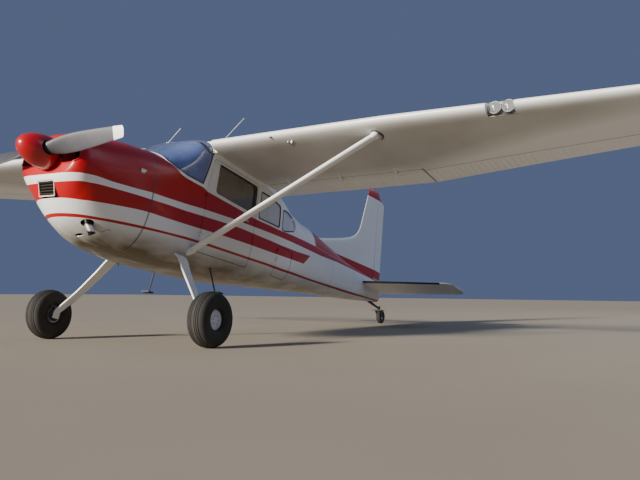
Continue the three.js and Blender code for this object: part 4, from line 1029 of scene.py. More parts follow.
def skin_height(f, side):
    """NACA 2412: the camber line plus or minus the four-digit thickness, both as fractions of the chord."""
    thick = 0.6 * (0.2969 * np.sqrt(f) - 0.126 * f - 0.3516 * f**2 + 0.2843 * f**3 - 0.1026 * f**4)
    line = np.where(f < 0.4, (0.02 / 0.16) * (0.8 * f - f * f), (0.02 / 0.36) * (0.2 + 0.8 * f - f * f))
    return line + side * thick


def wing_point(x, back, height):
    """A fraction of the chord back and a height over the chord line, at x along the left wing."""
    x, back, height = np.broadcast_arrays(*(np.asarray(v, float) for v in (x, back, height)))
    out = np.maximum(0, (x - BREAK_X) / (TIP_X - BREAK_X))
    chord = ROOT_CHORD + (TIP_CHORD - ROOT_CHORD) * out
    twist = np.radians(3.0 - 3.0 * out)
    y = WING_Y + 0.042 * np.maximum(0, x - BREAK_X) + chord * (back * np.cos(twist) + height * np.sin(twist))
    z = WING_Z + DIHEDRAL * (x - ROOT_X) + chord * (height * np.cos(twist) - back * np.sin(twist))
    return np.stack([x, y, z], -1)


def wing_rings(x, squeeze=1.0, shrink=1.0):
    """Sections from the trailing edge over the top to the nose and back below, with points spaced by the
    cosine, so closest together at the nose."""
    angle = np.concatenate([np.linspace(0, pi, 72), np.linspace(pi, 2 * pi, 72)[1:]])
    f, side = (1 + np.cos(angle)) / 2, np.where(angle <= pi, 1.0, -1.0)
    x, squeeze, shrink = (np.broadcast_to(v, np.shape(x))[:, None] for v in (x, squeeze, shrink))
    return wing_point(x, 0.5 + (f - 0.5) * shrink, skin_height(f, side) * squeeze)


def hinge(x, f):
    """Middle of the section at a fraction of the chord, and half its thickness there."""
    top, low = wing_point(x, f, skin_height(f, 1)), wing_point(x, f, skin_height(f, -1))
    return (top + low) / 2, np.linalg.norm(top - low, axis=-1) / 2


def wing_solid():
    """The whole wing, its tip thinned on a quarter ellipse and drawn in a little."""
    t = np.sin(np.linspace(0, pi / 2, 12))
    x = np.concatenate([[ROOT_X, 1390, BREAK_X, 4000], 5330 + 130 * t])
    squeeze = np.concatenate([np.ones(4), 0.14 + 0.86 * np.sqrt(1 - t**2)])
    shrink = np.concatenate([np.ones(4), 1 - 0.16 * t**3])
    return loft(wing_rings(x, squeeze, shrink))


def cabin():
    outer = hull(FIREWALL_Y, CABIN_REAR_Y - GAP)
    inside = lambda inset: hull(FIREWALL_Y + 12, CABIN_REAR_Y - 40, inset)
    clearance = inside(WALL)
    deep = inside(WALL + CLEAR)
    root = wing_rings([ROOT_X])[0]
    centre = loft([root * [0, 1, 1] + [x, 0, 0] for x in (-(ROOT_X - GAP), ROOT_X - GAP)])
    roof = outer + (centre & box(-600, 600, 905, 1930, 0, 1000))
    room = box(-600, 600, -300, BAGGAGE_Y, FLOOR_Z, 1000)
    room = room + box(-600, 600, BAGGAGE_Y - 1, 3100, BAGGAGE_FLOOR_Z, 1000)
    tub = roof - (clearance & room) - prism(SCREEN, *ACROSS)
    for glass in (MID_WINDOW, AFT_WINDOW):
        tub = tub - prism(rounded(glass, 50), *ACROSS)

    def opening(points, rear):
        p = grown(points, CLEAR)
        p[:, 0] += np.where(p[:, 0] > points[0][0] + 200, rear - CLEAR, 0)
        return prism(rounded(p, 40), *LEFT) - deep

    door_cut, bag_cut = opening(DOOR, 12), opening(BAGGAGE_DOOR, 16)
    tub = tub - door_cut - door_cut.mirrored() - bag_cut
    piece("cabin_shell", tub, fuselage_paint, stands_for="cabin")

    wall = outer - clearance
    door = (wall & prism(rounded(DOOR, 40), *LEFT)) - prism(rounded(DOOR_WINDOW, 50), *LEFT)
    both("door_skin", door, fuselage_paint, "door_SIDE_group", "door_SIDE")
    hatch = wall & prism(rounded(BAGGAGE_DOOR, 40), *LEFT)
    piece("baggage_hatch", hatch, fuselage_paint, "baggage_door_group", "baggage_door")

    # Hinges: knuckles one on another, with a leaf to the fixed and to the moving side
    def knuckles(x, y, heights, moving):
        parts = []
        for z in heights:
            low, high = (z + GAP, z + 22) if moving else (z - 22, z)
            parts.append(rod([x, y, low], [x, y, high], 7))
            leaf = box(x - 24, x + 4, y if moving else y - 34, y + 34 if moving else y, low, high)
            parts.append(leaf - hull(y - 80, y + 80, 3))
        return joined(*parts)

    for moving, suffix, door_body, bay_body in ((False, "_fixed", "airframe", "airframe"),
                                                (True, "", "door_SIDE_group", "baggage_door_group")):
        door_hinge = knuckles(544, 835, (-260, 180), moving)
        both("door_hinge" + suffix, door_hinge, fuselage_paint, door_body)
        bay_hinge = knuckles(526, 2396, (-140, -30), moving)
        piece("bay_hinge" + suffix, bay_hinge, fuselage_paint, bay_body)

    # Clear panels, and the black seals and light trim round them
    layer = lambda proud, depth: hull(900, CABIN_REAR_Y - 200, proud) - hull(880, CABIN_REAR_Y - 180, depth)
    panes, seals = layer(7, 12), layer(-1.6, 6)
    for name, points, inner, clear, rides in (
            ("door_window", DOOR_WINDOW, DOOR_SEAL_INNER, door_clear, "door_SIDE_group"),
            ("mid_window", MID_WINDOW, grown(MID_WINDOW, -6), window_clear, "airframe"),
            ("aft_window", AFT_WINDOW, grown(AFT_WINDOW, -6), window_clear, "airframe")):
        pane = panes & prism(rounded(grown(points, -GAP), 50), *LEFT)
        both(name + "_pane", pane, clear, rides, name + "_SIDE")
        rim = prism(rounded(grown(points, 9), 40), *LEFT) - prism(rounded(inner, 34), *LEFT)
        both(name + "_seal", seals & rim, black_rubber_and_shade, rides)
    screen = (outer - inside(6)) & prism(grown(SCREEN, -GAP), *ACROSS)
    piece("screen_pane", screen, screen_clear, stands_for="windscreen")
    edge = [[40, 560], *SCREEN[:7], [890, 1000], [40, 1000]]
    band = lambda out, inward: prism(grown(edge, out), *ACROSS) - prism(grown(edge, inward), *ACROSS)
    skin = lambda proud, depth: hull(100, 900, -proud) - hull(80, 920, depth)
    piece("screen_trim", skin(2.2, 1) & band(11, 2), white_paint)
    # the seal also closes the wedge between the screen's upper corner and the wing's nose, black as painted
    # shade of the gap there
    gap_shade_wedge = prism([[742, 800], [755, 745], [800, 690], [880, 668], [905, 700], [850, 722], [800, 752],
                   [782, 800]], *ACROSS)
    piece("screen_seal_and_shade", skin(3.4, 4) & (band(2, -13) + gap_shade_wedge), black_rubber_and_shade)


cabin()


def curtains():
    """Sheets beside the rear seat that follow the wall 48 mm inside it, in folds of 62 mm and 14 mm deep."""
    for name, y0, y1, top_z in (("mid", 1890, 2340, 570), ("aft", 2450, 2900, 540)):
        y, z = np.meshgrid(np.linspace(y0, y1, 120), np.linspace(252, top_z, 14), indexing="ij")
        top, _, half, wide, up, _ = (column(FRAMES, k, y) for k in range(1, 7))
        wall = half * (1 - np.clip((z - wide) / (top - wide), 0, 0.98) ** up) ** (1 / up)
        x = wall - 48 + 7 * np.sin(2 * pi * y / 62)
        near, far = (np.stack([x + depth, y, z], -1) for depth in (1.5, -1.5))
        sheet = loft(np.concatenate([near, far[:, ::-1]], 1))
        both(f"curtain_{name}", sheet, curtain_cloth)


curtains()


PANEL_FRONT_Y, PANEL_FACE_Y = 330, 366
YOKE_X, SEAT_X = 285, 250


def interior():
    """Panel with instruments and two control yokes, three seats with crowned cushions."""
    room = hull(FIREWALL_Y + 20, 1200, WALL + GAP)
    panel = room & box(-600, 600, PANEL_FRONT_Y, PANEL_FACE_Y, -95, 402)
    piece("panel_board", panel, dark_plastic, stands_for="instrument_panel")
    dial = np.add([0, PANEL_FACE_Y], [[0, 0], [40, 0], [40, 5], [35, 7], [33, 3], [0, 3]])
    dials = [turned(dial, [x, 0, z], "y", 28) for x in range(-330, 336, 95) for z in (290, 190, 90)]
    piece("panel_dials", joined(*dials), dull_steel)
    for x, side in ((YOKE_X, "left"), (-YOKE_X, "right")):
        shaft = rod([x, 360, 60], [x, 560, 60], 13)
        t = np.linspace(-0.15, pi + 0.15, 25)
        horn = np.stack([x + 120 * np.cos(t), np.full(25, 562.0), 150 - 95 * np.sin(t)], -1)
        piece(f"yoke_{side}", joined(shaft, swept(horn, 12, 14)), dark_plastic)

    def cushion(centre, size, tilt, crown):
        """A superellipsoid of power 5, so sides are nearly flat and corners round, crowned by a cosine bulge
        on its two large faces, tilted about x."""
        u, v = np.meshgrid(np.linspace(0.02, pi - 0.02, 28), 2 * pi * np.arange(40) / 40, indexing="ij")
        unit = np.stack([np.sin(u) * np.cos(v), np.sin(u) * np.sin(v), np.cos(u)], -1)
        p = powered(unit, 0.42)
        bulge = np.cos(p[..., 0] * pi / 2) * np.cos(p[..., 1] * pi / 2)
        p = p * np.asarray(size) / 2
        p[..., 2] += np.sign(unit[..., 2]) * crown * np.maximum(0, bulge)
        c, s = cos(tilt), sin(tilt)
        y, z = c * p[..., 1] - s * p[..., 2], s * p[..., 1] + c * p[..., 2]
        return loft(np.stack([p[..., 0], y, z], -1) + centre)

    for name, x, width, y, tall, node in (("seat_left", SEAT_X, 404, 960, 630, "front_seat_left"),
                                          ("seat_right", -SEAT_X, 404, 960, 630, "front_seat_right"),
                                          ("seat_rear", 0, 840, 1700, 580, "rear_seat")):
        base = cushion([x, y + 205, -206], [width, 400, 118], radians(-4), 14)
        rest = cushion([x, y + 480, 60], [width - 20, tall, 96], radians(76), 12)
        stand_ = box(x - width * 0.38, x + width * 0.38, y + 60, y + 380, FLOOR_Z + GAP, -262)
        pad = piece(name + "_base", base, seat_cloth, stands_for=node)
        upper = piece(name + "_rest", rest, seat_cloth)
        piece(name + "_stand", stand_, dark_plastic)


interior()

# Wings and their moving surfaces
FLAP_HINGE, AILERON_HINGE = 0.72, 0.745
FLAP_SPAN, AILERON_SPAN = (585, 2592), (2608, 5200)
FLAP_BRACKETS, AILERON_PLATES = (900, 1600, 2300), (2900, 3900, 4900)
LAMP_SPAN = (3626, 3890)


def cove(x0, x1, f):
    """Room for a moving surface: a round trough about its hinge and all that lies behind it."""
    trough = [hoop(centre, r + CLEAR) for centre, r in (hinge(x, f) for x in (x0, x1))]
    behind = [[wing_point(x, b, h) for b, h in ((f, 0.09), (1.06, 0.09), (1.06, -0.09), (f, -0.09))]
              for x in (x0, x1)]
    return loft(trough) + loft(behind)


BEAD_EVERY, BEAD_HEIGHT = 66, 4.5


def moving_surface(span, f):
    """A round nose about the hinge, then flat skins to the trailing edge. Chordwise beads stand out of both
    skins: a raised cosine along the span, fading out at the nose and short of the trailing edge."""
    x = np.arange(span[0], span[1] + 1, 5.5)
    x[-1] = span[1]
    centre, r = hinge(x, f)
    angle = np.linspace(pi / 2, 3 * pi / 2, 15)
    nose = centre[:, None] + r[:, None, None] * np.stack([0 * angle, np.cos(angle), np.sin(angle)], -1)
    share = np.array([0.05, 0.09, 0.13, 0.3, 0.5, 0.7, 0.86, 0.91, 0.96, 1])
    fade = np.interp(share, [0.05, 0.13, 0.86, 0.96], [0, 1, 1, 0])
    inside_span = np.clip(np.minimum(x - span[0], span[1] - x) / 30, 0, 1)
    wave = np.cos(2 * pi * (x - span[0]) / BEAD_EVERY)
    ridge = inside_span * np.maximum(0, wave) ** 1.3 * BEAD_HEIGHT
    skins = []
    for side in (-1, 1):
        foot = nose[:, -1 if side < 0 else 0]
        tail = wing_point(x, 1.0, skin_height(1.0, side))
        line = foot[:, None] + (tail - foot)[:, None] * share[None, :, None]
        line[..., 2] += side * ridge[:, None] * fade
        skins.append(line)
    return loft(np.concatenate([nose, skins[0], skins[1][:, ::-1]], 1))


def plate(outline, x0, x1, eye):
    """A flat bracket with a round eye at a point."""
    return prism(outline, x0, x1) + rod([x0, *eye], [x1, *eye], 16)


def wings():
    full = wing_solid()
    wing = full - cove(FLAP_SPAN[0] - CLEAR, FLAP_SPAN[1] + CLEAR, FLAP_HINGE)
    wing = wing - cove(AILERON_SPAN[0] - CLEAR, AILERON_SPAN[1] + CLEAR, AILERON_HINGE)
    low, high = LAMP_SPAN
    rear = wing_point(low, 0.095, 0)
    recess = lambda inset, back: box(low + inset, high - inset, rear[1] - 300, rear[1] - back,
                                     rear[2] - 200, rear[2] + 200)
    piece("wing_skin_right", wing.mirrored(), wing_paint, stands_for="wing_right")
    piece("wing_skin_left", wing - recess(0, 0), wing_paint, stands_for="wing_left")

    # Landing lamps: a backing plate, two reflector bowls with their lenses, and the clear cover
    skin = full - full.moved(0.005 * cos(PITCH), -0.005 * sin(PITCH))
    piece("lamp_window", skin & recess(GAP, 6), lamp_clear, stands_for="lamp_cover")
    face = rear[1] - GAP
    board = box(low + GAP, high - GAP, face - 6, face, rear[2] - 48, rear[2] + 66)
    piece("lamp_board", board, black_rubber_and_shade, stands_for="landing_lamps")
    profiles = (("bowls", lamp_metal, "lamp_metal", [[0, -10], [26, -10], [50, -44], [52, -50], [55, -50],
                                                     [55, -44], [30, -7], [0, -7]]),
                ("rims", whip_paint, "lamp_metal", [[55.5, -40], [61, -40], [61, -50], [58, -53],
                                                    [55.5, -50]]),
                ("lenses", lens_clear, "clear_panel", [[0, -60], [26, -58], [48, -51], [54, -46], [54, -44],
                                                       [0, -46]]))
    for name, finish, slot, profile in profiles:
        pair = [turned(profile, [x, face, wing_point(x, 0.08, 0.0085)[2]], "y", 56)
                for x in (low + 68, high - 68)]
        piece("lamp_" + name, joined(*pair), finish)
    rim = skin & (recess(-9, -9) - recess(2, 2))
    piece("lamp_frame", rim, white_paint)

    for name, span, f in (("aileron", AILERON_SPAN, AILERON_HINGE), ("flap", FLAP_SPAN, FLAP_HINGE)):
        surface = moving_surface(span, f)
        both(name + "_skin", surface, wing_paint, name + "_SIDE_group", name + "_SIDE", sharp=50)
    fixed, moving = [], []
    for x in FLAP_BRACKETS:
        centre, r = hinge(x, FLAP_HINGE)
        y, z = centre[1], centre[2] - r - 45
        ahead = np.add([y, z], [[-14, -8], [8, 13], [-45, 55], [-150, 59]])
        behind = np.add([y, z], [[14, -8], [130, 55], [12, 55], [-8, 13]])
        fixed.append(plate(ahead, x - 8, x, (y, z)))
        moving.append(plate(behind, x + GAP, x + 8 + GAP, (y, z)))
    both("flap_bracket", joined(*fixed), white_paint)
    both("flap_arm", joined(*moving), white_paint, "flap_SIDE_group")

    # Fuel caps, aileron hinge plates, stall vent
    x, y, z = wing_point(1150, 0.25, skin_height(0.25, 1))
    cap = turned([[0, -6], [44, -6], [44, 3], [38, 6], [0, 7]], [x, y, z], "z", 40)
    both("fuel_cap", cap + box(x - 30, x + 30, y - 5, y + 5, z + 5, z + 13), dull_steel)
    plates = []
    inner, outer = (hinge(x, AILERON_HINGE)[0] for x in AILERON_SPAN)
    for x in AILERON_PLATES:
        centre = inner + (outer - inner) * (x - inner[0]) / (outer[0] - inner[0])
        r = float(hinge(x, AILERON_HINGE)[1])
        plates.append(box(x - 4, x + 4, centre[1] - r - 18, centre[1] - r + 6, centre[2] - 9, centre[2] + 9))
    both("aileron_hinge", joined(*plates), dull_steel)
    # the stall vent is a flat near-black disc: painted shade in its opening
    lip = wing_point(1319, 0.012, skin_height(0.012, -1))
    piece("leading_edge_vent_shade", turned([[0, -3], [16, -3], [16, 2], [0, 3]], lip, "y", 24), painted_hole_shade)
    return full


wing_full = wings()


STRUT_LOW, STRUT_TOP = np.array([440, 780, -495.0]), np.array([2500, 962, 758.0])


def struts():
    """A streamlined section, thickest ahead of its middle, from the cabin's lug to the wing's."""
    run = STRUT_TOP - STRUT_LOW
    along = unit_of(run)
    ahead = unit_of([0, 1.0, 0] - along * along[1])
    across = np.cross(along, ahead)
    c, s = circle(48).T[:, None, :]

    def body(stations, chord, thick):
        t, chord, thick = (np.asarray(v, float)[:, None] for v in (stations, chord, thick))
        middle = STRUT_LOW + run * t
        return loft(middle[:, None] + (chord / 2 * c)[..., None] * ahead
                    + (thick / 2 * s * (1 - 0.35 * c))[..., None] * across)

    solid = body([-0.01, 0.03, 0.06, 0.4, 0.95, 0.98, 1], [96, 104, 110, 110, 110, 104, 96],
                 [40, 42, 44, 44, 44, 42, 40])
    drop = wing_full.moved(0, -0.0004)
    skin = hull(300, 1300, -GAP)
    both("strut_tube", solid - drop - skin, white_paint, stands_for="strut_SIDE")
    cuff = body([0.972, 0.978, 0.99, 0.996], [112, 122, 126, 118], [48, 56, 58, 50])
    both("strut_boot", cuff - drop - solid, white_paint)
    # a black lip on the wing's lower skin, half round the strut's upper end: painted shadow of the strut's
    # cuff
    share = np.linspace(0.02, 0.5, 200)
    turn = np.radians(np.linspace(-115, 80, 60))
    x, y = 2470 + 62 * np.cos(turn), 985 + 92 * np.sin(turn)
    under = wing_point(2480, share, skin_height(share, -1))
    z = np.interp(y, under[:, 1], under[:, 2]) + DIHEDRAL * (x - 2480)
    lip = swept(np.stack([x, y, z - 4], -1), np.interp(turn, [turn[0], 0, turn[-1]], [2, 11, 3]), 12)
    both("strut_lip", lip, black_rubber_and_shade)
    foot = body([-0.004, 0.002, 0.03, 0.036], [108, 116, 120, 112], [48, 54, 54, 46])
    both("strut_shoe", foot - skin - solid, white_paint)


struts()

# Tail
STAB_Z, ELEVATOR_Y = 315, 6270
STAB_SPAN = 1630
FIN_TOP_Z = 1910
FIN_EDGE = np.array([[380, 3750], [600, 3900], [686, 4270], [787, 4650], [914, 5070], [1026, 5370],
                     [1143, 5530], [1275, 5612], [1600, 5700], [FIN_TOP_Z, 5787]])
RUDDER_HINGES, ELEVATOR_HINGES = (760, 1300, 1780), (330, 1230)
stab_lead = lambda x: STAB_Y + STAB_SWEEP * x
stab_rear = lambda x: 6690 - 0.03 * x
stab_half = lambda x: 40 - 16 * x / STAB_SPAN
fin_half = lambda z: 44 + (24 - 44) * (z - 400) / 1510
rudder_line = lambda z: 6236 - 76 * (z - 530) / 1400
rudder_rear = lambda z: 6548 - 93 * (z - 530) / 1400


def blunt(lead, rear, half):
    """[along, half thickness] on a quarter ellipse from a leading edge to the greatest thickness."""
    f = 1 - np.cos(np.linspace(0, pi / 2, 22))
    lead, rear, half = (np.asarray(v, float)[:, None] for v in (lead, rear, half))
    return lead + (rear - lead) * f, half * np.sqrt(1 - (1 - f) ** 2)


def upright(z, y, h):
    """Both sides of a half outline at each height, closed ahead."""
    z = np.broadcast_to(np.asarray(z, float)[:, None], y.shape)
    near, far = np.stack([h, y, z], -1), np.stack([-h[:, 1:], y[:, 1:], z[:, 1:]], -1)
    return loft(np.concatenate([near, far[:, ::-1]], 1))


def lying(x, y, h):
    """Both faces of a half outline at each x, over and under the stabilizer's level, closed ahead."""
    x = np.broadcast_to(np.asarray(x, float)[:, None], y.shape)
    over, below = np.stack([x, y, STAB_Z + h], -1), np.stack([x, y, STAB_Z - h], -1)[:, 1:]
    return loft(np.concatenate([over, below[:, ::-1]], 1))


def tail():
    cone = hull(CABIN_REAR_Y, 6640)
    cone = cone - prism([[6460, 60], [6700, 60], [6700, 480], [6655, 470]], -100, 100)
    x = np.array([-1430, -60, 60, 1430.0])

    def stab(grow):
        ax = abs(x)
        body = lying(x, *blunt(stab_lead(ax) - grow, ELEVATOR_Y + 0 * x, stab_half(ax) + grow))
        return body - loft([hoop([at, ELEVATOR_Y, STAB_Z], stab_half(abs(at)) + CLEAR - grow)
                            for at in (-1500, 0, 1500)])

    cone = cone - stab(GAP) - rod([-160, ELEVATOR_Y, STAB_Z], [160, ELEVATOR_Y, STAB_Z], 24)
    cone = cone - box(-200, 200, ELEVATOR_Y - 60, ELEVATOR_Y + 26, STAB_Z - 26, STAB_Z + 26)
    cone = cone - box(-32, 32, 6146, 6700, 20, 108)
    piece("tailcone_skin", cone, fuselage_paint, stands_for="tailcone")
    piece("stabilizer_skin", stab(0), tail_paint, stands_for="stabilizer")

    z = np.concatenate([np.linspace(380, 1300, 47), np.linspace(1330, FIN_TOP_Z, 20)])
    fin = upright(z, *blunt(column(FIN_EDGE, 1, z), rudder_line(z), fin_half(z)))
    trough = [hoop([0, rudder_line(at), at], fin_half(at) + CLEAR, "z") for at in (300, 2000)]
    fin = fin - hull(3500, 6640, -GAP) - loft(trough)
    piece("fin_skin", fin, fin_paint, stands_for="fin")

    # Rudder: round nose about the hinge line, flat sides, and the horn that caps the fin
    z = np.array([530, 900, 1200, 1560, FIN_TOP_Z + 8.0])
    angle = np.linspace(0, pi, 17)
    r = fin_half(z)[:, None]
    nose = np.stack([r * np.cos(angle), rudder_line(z)[:, None] - r * np.sin(angle),
                     np.broadcast_to(z[:, None], (5, 17))], -1)
    rear = [np.stack([side * np.ones(5), rudder_rear(z), z], -1)[:, None] for side in (-3, 3)]
    rudder = loft(np.concatenate([nose, *rear], 1))
    for at in RUDDER_HINGES:
        reach = fin_half(at) + 20
        rudder = rudder - box(-reach, reach, rudder_line(at) - reach, rudder_line(at) + 16, at - 7, at + 7)
    t = np.sin(np.linspace(0, pi / 2, 26)) ** 2
    z = FIN_TOP_Z + 7 + 168 * t
    wide, cut = 0.22 + 0.78 * np.sqrt(1 - t**2), 110 * t**3
    y, h = blunt(5790 + cut * 1.6, rudder_line(z), fin_half(FIN_TOP_Z) * wide)
    y = np.concatenate([y, (rudder_rear(z) - 275 * np.sqrt(t))[:, None]], 1)
    cap = upright(z, y, np.concatenate([h, np.full((26, 1), 3.0)], 1))
    piece("rudder_skin", rudder + cap, fin_paint, "rudder_group", "rudder")
    plates = []
    for at in RUDDER_HINGES:
        y = rudder_line(at)
        eye = rod([0, y, at - 4], [0, y, at + 4], 13)
        plates.append(box(-8, 8, y - fin_half(at) - 16, y, at - 4, at + 4) + eye)
    piece("rudder_hinges", joined(*plates), dull_steel)

    # Elevators: two halves on one tube, with horn balances at the tips
    x = np.linspace(92, STAB_SPAN - 120, 8)
    r = stab_half(x)[:, None]
    angle = np.linspace(pi / 2, 3 * pi / 2, 17)
    wide = np.broadcast_to(x[:, None], (8, 17))
    nose = np.stack([wide, ELEVATOR_Y + r * np.cos(angle), STAB_Z + r * np.sin(angle)], -1)
    rear = [np.stack([x, stab_rear(x), np.full(8, STAB_Z + side)], -1)[:, None] for side in (-3.0, 3.0)]
    half = loft(np.concatenate([nose, *rear], 1))
    t = np.sin(np.linspace(0, pi / 2, 12))
    x = 1437 + (STAB_SPAN - 1437) * t
    thick, cut = 0.24 + 0.76 * np.sqrt(1 - t**2), 125 * t**3.5
    y, h = blunt(stab_lead(x) + cut, ELEVATOR_Y + 0 * x, stab_half(x) * thick)
    y = np.concatenate([y, (stab_rear(x) - 2.2 * cut)[:, None]], 1)
    half = half + lying(x, y, np.concatenate([h, np.full((12, 1), 3.0)], 1))
    for at in ELEVATOR_HINGES:
        reach = stab_half(at) + 20
        half = half - box(at - 4 - GAP, at + 4 + GAP, ELEVATOR_Y - reach, ELEVATOR_Y + 17,
                          STAB_Z - reach, STAB_Z + reach)
    tube = rod([-110, ELEVATOR_Y, STAB_Z], [110, ELEVATOR_Y, STAB_Z], 18)
    halves = joined(half, half.mirrored(), tube)
    piece("elevator_skins", halves, elevator_paint, "elevator_group", "elevators")
    eyes = [rod([at - 4, ELEVATOR_Y, STAB_Z], [at + 4, ELEVATOR_Y, STAB_Z], 14)
            + box(at - 4, at + 4, ELEVATOR_Y - stab_half(at) - 16, ELEVATOR_Y, STAB_Z - 9, STAB_Z + 9)
            for at in ELEVATOR_HINGES]
    both("elevator_hinge", joined(*eyes), dull_steel)


tail()

# Landing gear. The leg: x, y, z, width, thickness
AXLE_Y, AXLE_Z, HALF_TRACK = 464, -1255, 1135
LEG = np.array([[330, 665, -505, 150, 26], [470, 655, -562, 146, 25], [620, 612, -745, 128, 24],
                [820, 556, -985, 108, 22], [980, 490, -1172, 90, 21], [1018, 468, -1225, 84, 21],
                [1026, AXLE_Y, -1300, 82, 20]], float)


def leaf(rows):
    """A flat spring along a smooth line through its rows, its corners rounded: a superellipse of power 6."""
    far = np.concatenate([[0], np.cumsum(np.linalg.norm(np.diff(rows[:, :3], axis=0), axis=1))])
    table = np.column_stack([far, rows])
    at = np.linspace(0, far[-1], 48)
    path = np.stack([column(table, k, at) for k in (1, 2, 3)], -1)
    wide, thick = (column(table, k, at)[:, None] / 2 for k in (4, 5))
    along = unit_of(np.gradient(path, axis=0))
    ahead = unit_of([0, 1.0, 0] - along * along[:, 1:2])
    across = np.cross(along, ahead)
    a, b = powered(circle(40).T, 0.33)
    return loft(path[:, None] + (wide * a)[..., None] * ahead[:, None]
                + (thick * b)[..., None] * across[:, None])


def tyre(r, w, bead_r, bead_w, grooves, depth, points=150):
    """Tread and shoulders on a superellipse of power 2.6 about the widest line, walls on one of power 2.2
    down to the bead, and grooves sunk in the tread as narrow bells."""
    widest = bead_r + (r - bead_r) * 0.44
    t = np.linspace(-pi / 2, pi / 2, points)
    a = w * powered(np.sin(t), 2 / 2.6)
    out = widest + (r - widest) * np.cos(t) ** (2 / 2.6)
    for g in grooves:
        out = out - depth * np.exp(-(((a - g) / 3.6) ** 2))
    s = np.linspace(0, 1, 16)[1:]
    down = bead_w + (w - bead_w) * (1 - s**2.2) ** (1 / 2.2)
    wall = np.stack([widest - (widest - bead_r) * s, down], -1)
    crown = np.stack([out, a], -1)
    inner = np.array([[bead_r, 0.0]])
    return np.concatenate([crown, wall, inner, (wall * [1, -1])[::-1]])


def main_gear():
    leg = leaf(LEG)
    axle = rod([1018, AXLE_Y, AXLE_Z], [HALF_TRACK + 48, AXLE_Y, AXLE_Z], 20)
    both("leg_spring", joined(leg, axle), white_paint, stands_for="gear_leg_SIDE", sharp=40)
    centre = [HALF_TRACK, AXLE_Y, AXLE_Z]
    section = tyre(274, 108, bead_r=98, bead_w=62, grooves=range(-60, 61, 20), depth=9)
    both("tyre_tread", turned(section, centre, sides=112), rubber, "main_wheel_SIDE", "tyre_SIDE", sharp=60)
    face = [[0, 66], [30, 65], [60, 61.5], [82, 55.5], [90, 55], [94, 59], [97.5, 60], [97.5, 54], [92, 48],
            [0, 48]]
    barrel = [[22, -58], [97.5, -60], [97.5, 47], [84, 47], [80, -40], [22, -44]]
    both("wheel_disc", turned(face, centre, sides=72), hub_paint, "main_wheel_SIDE", "wheel_SIDE")
    both("wheel_barrel", turned(barrel, centre, sides=72), dull_steel, "main_wheel_SIDE")
    disc = turned([[21, -80], [88, -80], [88, -74], [60, -74], [60, -60], [21, -60]], centre, sides=72)
    both("brake_disc", disc, bright_steel, "main_wheel_SIDE")
    bolt = [[0, 0], [6, 0], [6, 5], [0, 6]]
    bolts = [turned(bolt, [HALF_TRACK + 63, AXLE_Y + 40 * c, AXLE_Z + 40 * s], "x", 12) for c, s in circle(6)]
    both("hub_bolts", joined(*bolts), dull_steel, "main_wheel_SIDE")
    block = np.add([AXLE_Y, AXLE_Z], [[-88, 62], [-30, 62], [-26, 104], [-80, 112]])
    caliper = prism(block, HALF_TRACK - 104, HALF_TRACK - 84)
    both("brake_caliper", caliper, spring_paint)
    cover = turned([[24, -108], [58, -106], [72, -96], [76, -88], [24, -88]], centre, sides=56)
    both("brake_cover", cover - leg, spring_paint)
    line = LEG[1:6, :3] + [-4, 62, 8]
    far = np.linspace(0, 4, 40)
    path = np.stack([np.interp(far, np.arange(5), line[:, k]) for k in range(3)], -1)
    path = np.concatenate([path, [[1030, AXLE_Y - 10, AXLE_Z + 96], [1036, AXLE_Y - 50, AXLE_Z + 92]]])
    both("brake_line", swept(path, 4.5, 8), black_rubber_and_shade)


main_gear()

# Tailwheel: its tyre stands on the ground
TAIL_PIVOT_Y, TAIL_AXLE_Y, TAIL_TYRE_R = 6640, 6745, 120
TAIL_AXLE_Z = (TAIL_TYRE_R - LIFT + sin(PITCH) * TAIL_AXLE_Y) / cos(PITCH)
# Tail leaf: y, z, width, thickness
SPRING = np.array([[6150, 92, 60, 30], [6330, 74, 56, 26], [6480, 58, 50, 20], [6630, 46, 44, 16]])


